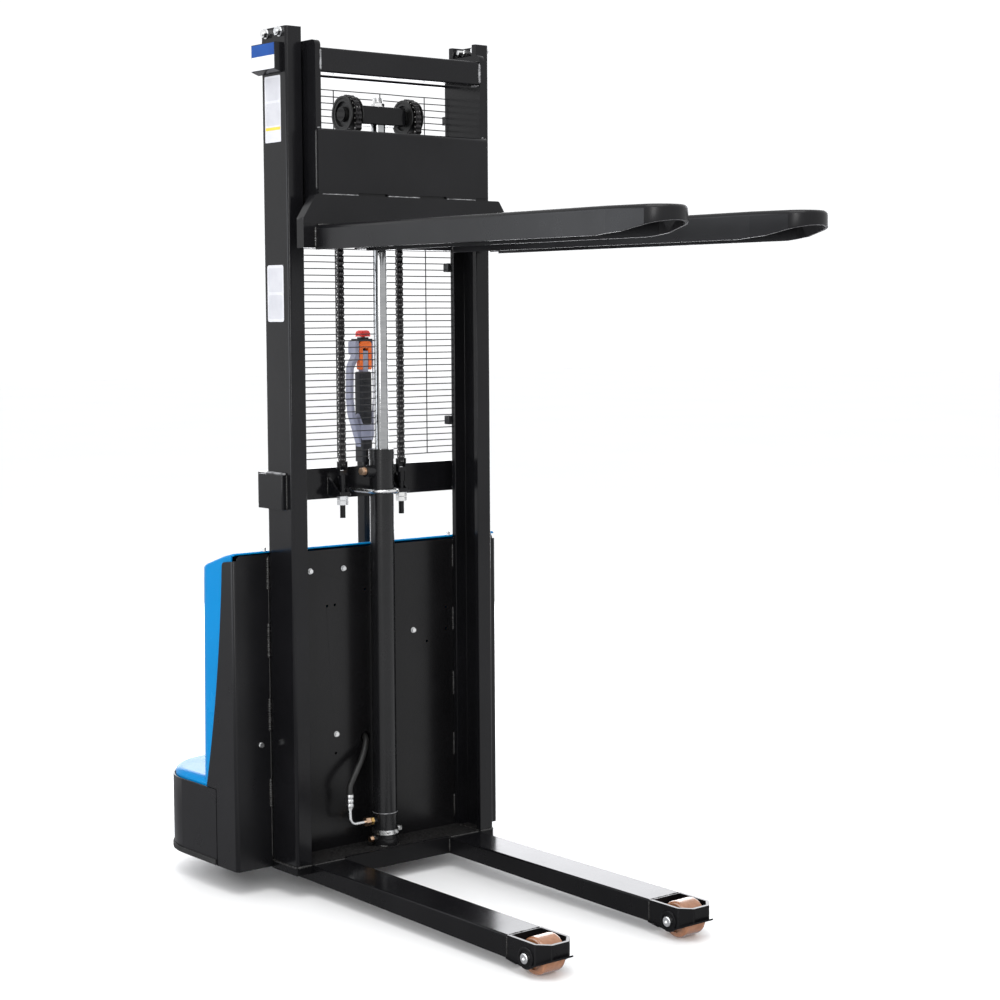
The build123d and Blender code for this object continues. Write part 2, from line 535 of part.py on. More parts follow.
node("castor_fork", cf)

cw = cy(CASTOR_R, CASTOR_Y - CASTOR_W / 2, CASTOR_Y + CASTOR_W / 2, cwx, CASTOR_Z)
cw = fillet(cw.edges().filter_by(GeomType.CIRCLE), 6.0)
cw += cy(18, CASTOR_Y - 27.4, CASTOR_Y + 27.4, cwx, CASTOR_Z)
cw -= cy(9.06, CASTOR_Y - 60, CASTOR_Y + 60, cwx, CASTOR_Z)
node("castor_wheel", cw)

# ---------------------------------------------------------------- carriage
def side_plate():
    s = bx(-96, 46, -PLATE_OUT, -PLATE_IN, 1604, 2036)
    s = fillet(edges_at(s, Axis.Y, X=(45, 47), Z=(2030, 2040)), 14.0)
    s = fillet(edges_at(s, Axis.Y, X=(-97, -95)), 8.0)
    for z in (ROLLER_ZU, ROLLER_ZL):
        s += cy(22, -PLATE_OUT - 5, -PLATE_OUT, ROLLER_X, z)
        s += cy(15.0, -PLATE_OUT - 36.5, -PLATE_OUT, ROLLER_X, z)
    return s


right_plate = side_plate()
node("carriage_plate_right", right_plate)
node("carriage_plate_left", flip(right_plate))

bar = bx(4, 44, -PLATE_IN, PLATE_IN, 1962, 2019)
bar = fillet(edges_at(bar, Axis.Y), 5.0)
bar -= bx(8, 40, -PLATE_IN - 1, PLATE_IN + 1, 1966, 2015)
node("carriage_top_bar", bar)

# back plate with a rounded, turned-back top edge
bp = bx(46, 54, -PLATE_OUT, PLATE_OUT, 1678, 1832)
lipb = bx(30, 54, -PLATE_IN + 1, PLATE_IN - 1, 1824, 1832)
bp += lipb
bp = fillet(edges_at(bp, Axis.Y, X=(53, 55), Z=(1831, 1833)), 7.0)
for y0, y1 in ((-136, -53), (44, 123), (214, PLATE_OUT)):
    bp -= bx(48.5, 60, y0, y1, 1670, 1685)
node("carriage_backplate", bp)

# fork carrier: thick plate, chamfered upper corners, notches over the legs
CAR_HALF = 307.0
car = make_face(Polyline((0, -CAR_HALF, 1554), (0, -CAR_HALF, 1622), (0, -271, 1678), (0, 271, 1678), (0, CAR_HALF, 1622), (0, CAR_HALF, 1554), close=True))
carrier = Pos(46, 0, 0) * extrude(car, FORK_HEEL - 46, dir=(1, 0, 0))
for sgn in (-1, 1):
    carrier -= bx(0, 100, sgn * 146, sgn * 264, 1500, FORK_TOP - FORK_WALL)
carrier = fillet(edges_at(carrier, Axis.X, Z=(1615, 1680)), 8.0)
# groove along the weld over the fork tops; the face above it stops the load
carrier -= bx(FORK_HEEL - 1.2, FORK_HEEL + 1, -400, 400, FORK_TOP + 0.4, FORK_TOP + 2.6)
node("fork_carrier", carrier)

# forks: pressed inverted U, lower edges rise and plan narrows to a rounded nose
def fork_plan(inset, x0):
    yc = -(FORK_IN + FORK_OUT) / 2
    h = (FORK_OUT - FORK_IN) / 2 - inset
    xn, r = FORK_TIP - NOSE_R, NOSE_R - inset
    ya, yb = math.sqrt(r * r - 22.0 ** 2), math.sqrt(r * r - 46.0 ** 2)
    l1 = Line((x0, yc - h), (1076, yc - h))
    l2 = Line((1076, yc - h), (xn + 22, yc - ya))
    a1 = ThreePointArc((xn + 22, yc - ya), (xn + 46, yc - yb), (xn + r, yc))
    a2 = ThreePointArc((xn + r, yc), (xn + 46, yc + yb), (xn + 22, yc + ya))
    l3 = Line((xn + 22, yc + ya), (1076, yc + h))
    l4 = Line((1076, yc + h), (x0, yc + h))
    l5 = Line((x0, yc + h), (x0, yc - h))
    return make_face(l1 + l2 + a1 + a2 + l3 + l4 + l5)


def fork():
    z0 = FORK_TOP - FORK_H
    s = Pos(0, 0, z0) * extrude(fork_plan(0, FORK_HEEL), FORK_H)
    top = s.faces().sort_by(Axis.Z)[-1].edges().filter_by(lambda e: e.center().X > FORK_HEEL + 1)
    s = fillet(top, 9.0)
    s -= Pos(0, 0, z0 - 1) * extrude(fork_plan(FORK_WALL, FORK_HEEL - 5), FORK_H + 1 - FORK_WALL)
    s -= prism_xz([(1045, z0 - 5), (1045, z0), (1110, z0 + 6), (1175, z0 + 20), (FORK_TIP + 5, z0 + 28), (FORK_TIP + 5, z0 - 5)], -400, 0)
    return s


right_fork = fork()
node("fork_right", right_fork)
node("fork_left", flip(right_fork))

# chain lugs on the carriage: plates reaching back to the front strands
def lug_c(sgn):
    y0 = sgn * SHEAVE_Y
    s = bx(-30, 46, y0 - 17, y0 + 17, 1640, 1652)
    s += bx(38, 46, y0 - 17, y0 + 17, 1610, 1678)
    for dy in (-17, 11):
        s += prism_xz([(38, 1612), (38, 1640), (-26, 1640), (-26, 1634)], y0 + dy, y0 + dy + 6)
    s += cz(8.0, 1652, 1672, CYL_X + CHAIN_R, y0)
    eye = bx(CYL_X + CHAIN_R - 6, CYL_X + CHAIN_R + 6, y0 - 11.6, y0 + 11.6, 1670, 1700)
    eye -= bx(CYL_X + CHAIN_R - 8, CYL_X + CHAIN_R + 8, y0 - 9.1, y0 + 9.1, 1680, 1701)
    s += eye
    s += hz(22, 1628, 1640, CYL_X + CHAIN_R, y0)
    return s


node("carriage_chain_lugs", lug_c(-1), lug_c(1))

# guide rollers
def roller(z):
    s = cy(ROLLER_R, -PLATE_OUT - 36.5, -PLATE_OUT - 7.5, ROLLER_X, z)
    s = fillet(s.edges().filter_by(GeomType.CIRCLE), 2.5)
    s -= cy(15.06, -400, -100, ROLLER_X, z)
    s -= cy(28, -PLATE_OUT - 40, -PLATE_OUT - 34.5, ROLLER_X, z) - cy(20, -400, -100, ROLLER_X, z)
    return s


for nm, z in (("rollers_upper", ROLLER_ZU), ("rollers_lower", ROLLER_ZL)):
    r = roller(z)
    node(nm, r, flip(r))

# ---------------------------------------------------------------- rod, crosshead, sheaves, chains
HEAD_LOW, HEAD_TOP = 1858.0, 1902.0
rod = cz(ROD_R, 872, HEAD_LOW, CYL_X, 0)
rod += cz(BORE_R - 0.06, 872, 902, CYL_X, 0)
rod += cz(9.0, HEAD_LOW, 1918, CYL_X, 0)
node("piston_rod", rod)

nut = cz(16.5, HEAD_TOP, HEAD_TOP + 1.5, CYL_X, 0) + hz(28, HEAD_TOP + 1.5, HEAD_TOP + 9, CYL_X, 0) + cz(11.8, HEAD_TOP + 8, HEAD_TOP + 22, CYL_X, 0)
for a in (0, 60, 120):
    nut -= Pos(CYL_X, 0, HEAD_TOP + 18) * Rot(0, 0, a + 20) * Box(40, 4.6, 10)
nut -= cz(9.0, 1800, 1950, CYL_X, 0)
node("crosshead_nut", nut)

ch = bx(CYL_X - 22, CYL_X + 22, -66, 66, HEAD_LOW, HEAD_TOP)
ch = fillet(ch.edges().filter_by(Axis.Y), 3.0)
ch += cy(13.0, -108, 108, CYL_X, SHEAVE_Z)
for sgn in (-1, 1):
    ch += cy(18.0, sgn * 66, sgn * 71.0, CYL_X, SHEAVE_Z)
    ch += cy(17.0, sgn * 107.0, sgn * 109.5, CYL_X, SHEAVE_Z)
ch -= cz(9.0, 1800, 1950, CYL_X, 0)
node("crosshead", ch)

def sheave(sgn):
    y = sgn * SHEAVE_Y
    s = cy(43.5, y - 17.5, y + 17.5, CYL_X, SHEAVE_Z)
    groove = cy(60, y - GROOVE_W / 2, y + GROOVE_W / 2, CYL_X, SHEAVE_Z) - cy(CHAIN_R - CHAIN_T / 2 - 0.4, y - 40, y + 40, CYL_X, SHEAVE_Z)
    s -= groove
    for d in (-1, 1):
        s -= cy(30, y + d * 9, y + d * 19, CYL_X, SHEAVE_Z) - cy(18, y - 40, y + 40, CYL_X, SHEAVE_Z)
        s -= cy(37, y + d * 16, y + d * 19, CYL_X, SHEAVE_Z) - cy(18, y - 40, y + 40, CYL_X, SHEAVE_Z)
    s -= cy(13.06, y - 40, y + 40, CYL_X, SHEAVE_Z)
    return s


node("chain_sheaves", sheave(-1), sheave(1))

def wrap(sgn):
    y = sgn * SHEAVE_Y
    s = cy(CHAIN_R + CHAIN_T / 2, y - CHAIN_W / 2, y + CHAIN_W / 2, CYL_X, SHEAVE_Z)
    s -= cy(CHAIN_R - CHAIN_T / 2, y - 40, y + 40, CYL_X, SHEAVE_Z)
    s -= bx(CYL_X - 100, CYL_X + 100, y - 40, y + 40, SHEAVE_Z - 100, SHEAVE_Z)
    return s


node("chain_wraps", wrap(-1), wrap(1))
node("chain_rear_strands", *[bx(CYL_X - CHAIN_R - CHAIN_T / 2, CYL_X - CHAIN_R + CHAIN_T / 2, s * SHEAVE_Y - CHAIN_W / 2, s * SHEAVE_Y + CHAIN_W / 2, 1043, SHEAVE_Z) for s in (-1, 1)])
node("chain_front_strands", *[bx(CYL_X + CHAIN_R - CHAIN_T / 2, CYL_X + CHAIN_R + CHAIN_T / 2, s * SHEAVE_Y - CHAIN_W / 2, s * SHEAVE_Y + CHAIN_W / 2, 1701, SHEAVE_Z) for s in (-1, 1)])

# ---------------------------------------------------------------- tiller
ty = cz(54, 247, 259, STEER_X, STEER_Y)
for sgn in (-1, 1):
    y0, y1 = STEER_Y + sgn * 18.0, STEER_Y + sgn * 30.0
    e = bx(STEER_X - 24, STEER_X + 24, min(y0, y1), max(y0, y1), 257, TILLER_Z)
    e += cy(24, min(y0, y1), max(y0, y1), STEER_X, TILLER_Z)
    ty += e
ty += cy(8.0, STEER_Y - 34, STEER_Y + 34, STEER_X, TILLER_Z)
node("tiller_yoke", ty)

arm = cy(20, STEER_Y - 17.4, STEER_Y + 17.4, STEER_X, TILLER_Z)
arm_sec = Plane(origin=(STEER_X, STEER_Y, TILLER_Z + 10), z_dir=(0, 0, 1)) * SlotOverall(44, 27)
arm += extrude(arm_sec, 728)
arm += bx(STEER_X - 19, STEER_X + 19, STEER_Y - 16, STEER_Y + 16, TILLER_Z, TILLER_Z + 60)
arm -= extrude(Plane(origin=(STEER_X, STEER_Y, TILLER_Z + 70), z_dir=(0, 0, 1)) * SlotOverall(38, 21), 700)
arm -= cy(8.06, STEER_Y - 60, STEER_Y + 60, STEER_X, TILLER_Z)
node("tiller_arm", arm)

# head: leaf-shaped loop with a finger gap either side of a slim pod; throttle between the loop's shoulders, red dome on top
POD_HALF, POD_DEEP, LOOP_DEEP = 18.0, 17.0, 12.0
TH_Z = 1295.0
LOOP_OUT = [(15, 1050), (30, 1097), (44.5, 1142), (49, 1187), (46.5, 1268), (31.5, 1296), (31.5, 1335)]
LOOP_IN = [(21, 1110), (35, 1146), (39.5, 1187), (37.5, 1262), (25, 1283)]


def leaf(half, r_low, r_mid, r_top):
    pts = half + [(-y, z) for y, z in reversed(half)]
    f = make_face(Polyline(*[(0, y, z) for y, z in pts], close=True))
    zs = sorted(z for y, z in half)
    low, top = zs[0], zs[-1]
    f = fillet(f.vertices().filter_by(lambda v: v.Z < low + 1), r_low)
    f = fillet(f.vertices().filter_by(lambda v: v.Z > top - 1), r_top)
    mid = f.vertices().filter_by(lambda v: any(abs(v.Z - z) < 0.5 and abs(abs(v.Y) - y) < 0.5 for y, z in half[1:-1]))
    return fillet(mid, r_mid)


outer = Pos(-LOOP_DEEP, 0, 0) * extrude(leaf(LOOP_OUT, 10, 26, 9), 2 * LOOP_DEEP, dir=(1, 0, 0))
outer = fillet(outer.faces().sort_by(Axis.X)[-1].edges() + outer.faces().sort_by(Axis.X)[0].edges(), 3.5)
inner = Pos(-40, 0, 0) * extrude(leaf(LOOP_IN, 8, 20, 8), 80, dir=(1, 0, 0))
hc = outer - inner
hc -= bx(-11.0, 40, -20.5, 20.5, 1256, 1345)
back = bx(-22, -11.0, -31, 31, 1296, 1335)
back = fillet(back.edges().filter_by(Axis.X), 8.0)
hc += back
pod = bx(-POD_DEEP, POD_DEEP, -POD_HALF, POD_HALF, 1066, 1253)
pod = fillet(pod.edges().filter_by(Axis.Z), 8.0)
pod = fillet(pod.faces().sort_by(Axis.Z)[0].edges() + pod.faces().sort_by(Axis.Z)[-1].edges(), 5.0)
hc += pod
hc += bx(-9, 12, -8, 8, 1246, 1307)
shelf = bx(-22, 15, -24, 24, 1334.8, 1338.5)
shelf = fillet(shelf.edges().filter_by(Axis.Z), 6.0)
hc += shelf
boss_h = bx(-9.5, 11, -13, 13, 1337, 1342.5)
boss_h = fillet(boss_h.edges().filter_by(Axis.Z), 4.0)
hc += boss_h
cup = bx(-20, 20, -17, 17, 1018, 1075)
cup = fillet(cup.edges().filter_by(Axis.Z), 9.0)
hc += cup
hc -= extrude(Plane(origin=(0, 0, 1000), z_dir=(0, 0, 1)) * SlotOverall(44, 27), 50)
hc -= cy(5.06, -30, 30, 0, TH_Z)
hc -= cz(6.3, 1325, 1400, 1, 0)
for z in (1184.0, 1148.0):
    hc -= cx(9.3, -40, -7, 0, z)
node("tiller_head", Pos(STEER_X, STEER_Y, 0) * hc)

# throttle: shaft through the web, a wing on each side and a bridge over the top
th = cy(5.0, -18, 18, 0, TH_Z)
for sgn in (-1, 1):
    w = bx(-2, 13, sgn * 9.0, sgn * 18.5, 1258, 1332)
    th += w
th += bx(-2, 13, -18.5, 18.5, 1314, 1332)
th = fillet(edges_at(th, Axis.X, Z=(1331, 1333)), 8.0)
th = fillet(edges_at(th, Axis.X, Z=(1257, 1259)), 4.4)
node("throttle_paddles", Pos(STEER_X, STEER_Y, 0) * th)

# red dome: rounded plan and well rounded top, hollow below, on a stem
cap_b = bx(-14, 16, -19.5, 19.5, 1344, 1361)
cap_b = fillet(cap_b.edges().filter_by(Axis.Z), 12.0)
cap_b = fillet(cap_b.faces().sort_by(Axis.Z)[-1].edges(), 10.0)
hollow = bx(-10.5, 12.5, -15, 15, 1340, 1349)
hollow = fillet(hollow.edges().filter_by(Axis.Z), 7.0)
bb = cap_b - hollow
bb += cz(6.0, 1339.5, 1352, 1, 0)
node("belly_button", Pos(STEER_X, STEER_Y, 0) * bb)

for nm, z in (("raise_button", 1184.0), ("lower_button", 1148.0)):
    b = cx(9.0, -22, -11, 0, z)
    b = fillet(b.edges().filter_by(GeomType.CIRCLE).sort_by(Axis.X)[:1], 2.0)
    node(nm, Pos(STEER_X, STEER_Y, 0) * b)

# emergency stop and key switch on the cover's rear face
es = cx(11.0, -297, -275, ESTOP[0], ESTOP[1]) + cx(20.0, -315, -297, ESTOP[0], ESTOP[1])
es = fillet(es.edges().filter_by(GeomType.CIRCLE).sort_by(Axis.X)[:1], 6.0)
node("estop_button", es)
ks = cx(11.5, -290, -272, KEY[0], KEY[1]) + cx(15.0, -294, -288.6, KEY[0], KEY[1]) + bx(-315, -293, KEY[0] - 1.5, KEY[0] + 1.5, KEY[1] - 10, KEY[1] + 10)
node("key_switch", ks)

lo = [1e9] * 3
hi = [-1e9] * 3
for nm, sol in NODES.items():
    for s in sol:
        b = s.bounding_box()
        lo = [min(lo[0], b.min.X), min(lo[1], b.min.Y), min(lo[2], b.min.Z)]
        hi = [max(hi[0], b.max.X), max(hi[1], b.max.Y), max(hi[2], b.max.Z)]
print(len(NODES), "nodes; box", [round(v, 2) for v in lo], [round(v, 2) for v in hi])
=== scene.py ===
import bpy
import bmesh
import math
from mathutils import Vector, Matrix, noise


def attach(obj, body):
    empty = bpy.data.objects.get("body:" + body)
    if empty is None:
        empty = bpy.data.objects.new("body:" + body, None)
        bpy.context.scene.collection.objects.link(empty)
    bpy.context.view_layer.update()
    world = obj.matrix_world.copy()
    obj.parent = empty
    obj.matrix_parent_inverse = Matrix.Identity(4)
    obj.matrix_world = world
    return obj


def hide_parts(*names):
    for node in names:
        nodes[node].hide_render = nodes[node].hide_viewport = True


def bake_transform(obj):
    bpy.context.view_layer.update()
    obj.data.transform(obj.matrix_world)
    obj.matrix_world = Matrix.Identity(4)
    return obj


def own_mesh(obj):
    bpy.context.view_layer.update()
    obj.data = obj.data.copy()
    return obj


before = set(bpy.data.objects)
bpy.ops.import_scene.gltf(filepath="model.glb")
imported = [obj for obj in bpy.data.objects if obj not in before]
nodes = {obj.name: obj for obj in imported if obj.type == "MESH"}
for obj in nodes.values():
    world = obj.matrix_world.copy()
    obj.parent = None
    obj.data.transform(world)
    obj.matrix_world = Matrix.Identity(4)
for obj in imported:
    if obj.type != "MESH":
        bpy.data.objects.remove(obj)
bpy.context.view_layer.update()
scene = bpy.context.scene

SH, GZ = -337.0, 6.0             # mast frame (front face of the mast, drawing floor) to the row origin, mm
LIFT = 1510.0


def V(x, y, z):
    return Vector(((x + SH) / 1000.0, y / 1000.0, (z - GZ) / 1000.0))


# ------------------------------------------------------------------ materials
def start(name):
    m = bpy.data.materials.new(name)
    m.use_nodes = True
    nt = m.node_tree
    b = nt.nodes["Principled BSDF"]
    tc = nt.nodes.new("ShaderNodeTexCoord")
    return m, nt, b, tc


def tex_noise(nt, tc, scale, detail=3.0, rough=0.55, stretch=None, dist=0.0):
    n = nt.nodes.new("ShaderNodeTexNoise")
    n.inputs["Scale"].default_value = scale
    n.inputs["Detail"].default_value = detail
    n.inputs["Roughness"].default_value = rough
    n.inputs["Distortion"].default_value = dist
    if stretch:
        mp = nt.nodes.new("ShaderNodeMapping")
        mp.inputs["Scale"].default_value = stretch
        nt.links.new(tc.outputs["Object"], mp.inputs["Vector"])
        nt.links.new(mp.outputs["Vector"], n.inputs["Vector"])
    else:
        nt.links.new(tc.outputs["Object"], n.inputs["Vector"])
    return n


def ramp(nt, src, stops):
    r = nt.nodes.new("ShaderNodeValToRGB")
    els = r.color_ramp.elements
    els[0].position, els[0].color = stops[0][0], (*stops[0][1], 1)
    els[1].position, els[1].color = stops[-1][0], (*stops[-1][1], 1)
    for p, c in stops[1:-1]:
        e = els.new(p)
        e.color = (*c, 1)
    nt.links.new(src, r.inputs["Fac"])
    return r


def grey(v):
    return (v, v, v)


def bump(nt, b, src, strength, distance):
    k = nt.nodes.new("ShaderNodeBump")
    k.inputs["Strength"].default_value = strength
    k.inputs["Distance"].default_value = distance
    nt.links.new(src, k.inputs["Height"])
    nt.links.new(k.outputs["Normal"], b.inputs["Normal"])
    return k


def surface(name, dark, light, r_lo, r_hi, metal=0.0, spec=0.5, tone_scale=6.0, rough_scale=18.0, grain=700.0, grain_s=0.12, grain_d=0.0006,
            coat=0.0, coat_r=0.1, stretch=None, lo=0.35, hi=0.65):
    """Base colour and roughness wander with position, with a fine bump on top."""
    m, nt, b, tc = start(name)
    n1 = tex_noise(nt, tc, tone_scale, 4.0, 0.6, stretch)
    c = ramp(nt, n1.outputs["Fac"], [(lo, dark), (hi, light)])
    nt.links.new(c.outputs["Color"], b.inputs["Base Color"])
    n2 = tex_noise(nt, tc, rough_scale, 5.0, 0.65, stretch)
    r = ramp(nt, n2.outputs["Fac"], [(0.3, grey(r_lo)), (0.7, grey(r_hi))])
    nt.links.new(r.outputs["Color"], b.inputs["Roughness"])
    n3 = tex_noise(nt, tc, grain, 2.0, 0.5, stretch)
    bump(nt, b, n3.outputs["Fac"], grain_s, grain_d)
    b.inputs["Metallic"].default_value = metal
    b.inputs["Specular IOR Level"].default_value = spec
    b.inputs["Coat Weight"].default_value = coat
    b.inputs["Coat Roughness"].default_value = coat_r
    m.diffuse_color = (*light, 1)
    return m


BLACK = surface("satin_black_powder", (0.0040, 0.0040, 0.0047), (0.0068, 0.0067, 0.0077), 0.13, 0.21, spec=0.22, tone_scale=3.0, rough_scale=9.0, grain=700, grain_s=0.03, grain_d=0.0003)
BLACK_SHEET = surface("gloss_black_sheet", (0.0042, 0.0041, 0.0045), (0.0072, 0.0070, 0.0076), 0.19, 0.28, spec=0.24, tone_scale=2.2, rough_scale=6.0, grain=500, grain_s=0.03, grain_d=0.0003)
BLACK_SATIN = surface("soft_black_powder", (0.0040, 0.0040, 0.0047), (0.0068, 0.0067, 0.0077), 0.26, 0.36, spec=0.23, tone_scale=3.0, rough_scale=9.0, grain=700, grain_s=0.03, grain_d=0.0003)
# darker, duller copy of the satin black for side faces and the low crossmember: painted shade
BLACK_PAINTED_SHADE = surface("black_powder_painted_shade", (0.0034, 0.0034, 0.0038), (0.0060, 0.0059, 0.0066), 0.24, 0.36, spec=0.10, tone_scale=3.0, rough_scale=9.0, grain=700, grain_s=0.04, grain_d=0.0003)
# near-black colour for the seam strips: painted shade
SEAM_PAINTED_SHADE = surface("seam_painted_shade", (0.0010, 0.0010, 0.0010), (0.0040, 0.0040, 0.0042), 0.70, 0.90, spec=0.02, tone_scale=90.0, rough_scale=120.0, grain=500, grain_s=0.2, grain_d=0.0004)
BLACK_TUBE = surface("satin_black_barrel", (0.0050, 0.0050, 0.0056), (0.0086, 0.0086, 0.0094), 0.20, 0.30, spec=0.30, tone_scale=5.0, rough_scale=20.0, grain=900, grain_s=0.04, grain_d=0.0003)
BLACK_MAT = surface("black_mat_top", (0.003, 0.003, 0.003), (0.034, 0.033, 0.033), 0.60, 0.88, spec=0.0, tone_scale=260.0, rough_scale=130.0, grain=420, grain_s=0.9, grain_d=0.0012)
WELD = surface("painted_weld", (0.006, 0.006, 0.006), (0.024, 0.023, 0.022), 0.16, 0.32, spec=0.45, tone_scale=120.0, rough_scale=200.0, grain=500, grain_s=0.5, grain_d=0.0008)
# light grey copy of the weld colour: painted highlight on beads and edges
WELD_PAINTED_HIGHLIGHT = surface("weld_painted_highlight", (0.060, 0.060, 0.062), (0.30, 0.30, 0.31), 0.22, 0.42, spec=0.5, tone_scale=90.0, rough_scale=160.0, grain=500, grain_s=0.4, grain_d=0.0006)
ZINC = surface("zinc_plate", (0.62, 0.63, 0.64), (0.74, 0.74, 0.73), 0.22, 0.32, metal=1.0, tone_scale=25.0, rough_scale=60.0, grain=600, grain_s=0.03, grain_d=0.0002)
YZINC = surface("yellow_passivate", (0.46, 0.30, 0.20), (0.66, 0.47, 0.33), 0.24, 0.42, metal=1.0, tone_scale=80.0, rough_scale=120.0, grain=900, grain_s=0.08, grain_d=0.0003)
CHROME = surface("hard_chrome", (0.30, 0.305, 0.31), (0.38, 0.385, 0.39), 0.06, 0.11, metal=1.0, tone_scale=12.0, rough_scale=30.0, grain=500, grain_s=0.03, grain_d=0.0002, stretch=(1.0, 1.0, 6.0))
BRASS = surface("brass", (0.50, 0.31, 0.10), (0.74, 0.49, 0.19), 0.20, 0.36, metal=1.0, tone_scale=70.0, rough_scale=130.0, grain=700, grain_s=0.08, grain_d=0.0003)
CHAIN = surface("oiled_chain", (0.022, 0.021, 0.022), (0.070, 0.068, 0.070), 0.22, 0.40, metal=0.9, spec=0.5, tone_scale=140.0, rough_scale=220.0, grain=800, grain_s=0.15, grain_d=0.0004)
# bright metal of the pin ends, also used for the glint beads on the chains: painted highlight
PIN_AND_GLINT = surface("bright_pin_and_painted_glint", (0.42, 0.41, 0.40), (0.62, 0.61, 0.59), 0.20, 0.34, metal=1.0, tone_scale=200.0, rough_scale=260.0, grain=800, grain_s=0.1, grain_d=0.0003)
IRON = surface("black_sheave", (0.005, 0.005, 0.005), (0.012, 0.012, 0.012), 0.28, 0.46, spec=0.35, tone_scale=30.0, rough_scale=60.0, grain=700, grain_s=0.2, grain_d=0.0006)
STEEL = surface("greased_steel", (0.10, 0.095, 0.09), (0.26, 0.255, 0.25), 0.25, 0.45, metal=1.0, tone_scale=40.0, rough_scale=80.0, grain=600, grain_s=0.1, grain_d=0.0004)
BLUE = surface("blue_moulding", (0.000, 0.190, 0.480), (0.000, 0.220, 0.535), 0.20, 0.30, spec=0.07, tone_scale=2.5, rough_scale=12.0, grain=1100, grain_s=0.05, grain_d=0.0003)
HOSE = surface("hose_rubber", (0.007, 0.007, 0.007), (0.018, 0.018, 0.018), 0.36, 0.54, spec=0.40, tone_scale=80.0, rough_scale=110.0, grain=260, grain_s=0.25, grain_d=0.0008)
PU = surface("tan_polyurethane", (0.270, 0.108, 0.044), (0.360, 0.160, 0.078), 0.18, 0.28, spec=0.80, tone_scale=45.0, rough_scale=70.0, grain=500, grain_s=0.10, grain_d=0.0005, coat=0.35, coat_r=0.12)
TYRE = surface("black_tyre", (0.010, 0.010, 0.010), (0.026, 0.025, 0.024), 0.62, 0.82, spec=0.3, tone_scale=60.0, rough_scale=90.0, grain=400, grain_s=0.3, grain_d=0.0008)
WIRE = surface("guard_wire_black", (0.006, 0.006, 0.007), (0.014, 0.014, 0.016), 0.32, 0.48, spec=0.35, tone_scale=50.0, rough_scale=90.0, grain=900, grain_s=0.1, grain_d=0.0003)
CASE = surface("battery_case", (0.014, 0.014, 0.016), (0.026, 0.026, 0.029), 0.45, 0.60, spec=0.4, tone_scale=20.0, rough_scale=40.0, grain=700, grain_s=0.25, grain_d=0.0006)
ALLOY = surface("cast_alloy", (0.27, 0.275, 0.28), (0.42, 0.425, 0.43), 0.38, 0.55, metal=0.9, tone_scale=50.0, rough_scale=90.0, grain=420, grain_s=0.35, grain_d=0.0008)
GREY = surface("grey_grip_plastic", (0.250, 0.256, 0.335), (0.320, 0.326, 0.410), 0.42, 0.56, spec=0.4, tone_scale=15.0, rough_scale=50.0, grain=900, grain_s=0.25, grain_d=0.0005)
DARK = surface("black_insert_plastic", (0.008, 0.008, 0.010), (0.017, 0.017, 0.020), 0.42, 0.60, spec=0.35, tone_scale=25.0, rough_scale=60.0, grain=800, grain_s=0.3, grain_d=0.0005)
ORANGE = surface("orange_plastic", (0.82, 0.125, 0.008), (0.90, 0.175, 0.016), 0.30, 0.44, spec=0.45, tone_scale=30.0, rough_scale=60.0, grain=900, grain_s=0.15, grain_d=0.0004, coat=0.15, coat_r=0.2)
RED = surface("red_plastic", (0.58, 0.014, 0.012), (0.70, 0.030, 0.022), 0.26, 0.40, spec=0.45, tone_scale=30.0, rough_scale=60.0, grain=900, grain_s=0.12, grain_d=0.0004, coat=0.2, coat_r=0.15)
YELLOW = surface("yellow_film", (0.72, 0.50, 0.030), (0.80, 0.58, 0.050), 0.30, 0.44, spec=0.4, tone_scale=20.0, rough_scale=50.0, grain=900, grain_s=0.06, grain_d=0.0002)
LABEL = surface("label_film", (0.590, 0.595, 0.630), (0.650, 0.655, 0.690), 0.30, 0.44, spec=0.30, tone_scale=20.0, rough_scale=50.0, grain=900, grain_s=0.06, grain_d=0.0002)
FIELD = surface("label_field_film", (0.500, 0.505, 0.545), (0.560, 0.565, 0.600), 0.34, 0.48, spec=0.25, tone_scale=20.0, rough_scale=50.0, grain=900, grain_s=0.06, grain_d=0.0002)
WHITE = surface("white_film", (0.70, 0.71, 0.73), (0.79, 0.80, 0.82), 0.28, 0.42, spec=0.45, tone_scale=20.0, rough_scale=50.0, grain=900, grain_s=0.06, grain_d=0.0002)
BAND = surface("blue_film", (0.003, 0.052, 0.250), (0.006, 0.070, 0.310), 0.30, 0.44, spec=0.15, tone_scale=20.0, rough_scale=50.0, grain=900, grain_s=0.06, grain_d=0.0002)
GLASS = surface("dark_window", (0.004, 0.006, 0.009), (0.008, 0.011, 0.016), 0.06, 0.12, spec=0.5, tone_scale=20.0, rough_scale=40.0, grain=600, grain_s=0.02, grain_d=0.0001, coat=0.3, coat_r=0.05)
RUBBER = surface("edge_rubber", (0.008, 0.008, 0.008), (0.018, 0.018, 0.018), 0.55, 0.75, spec=0.3, tone_scale=40.0, rough_scale=80.0, grain=380, grain_s=0.3, grain_d=0.0007)

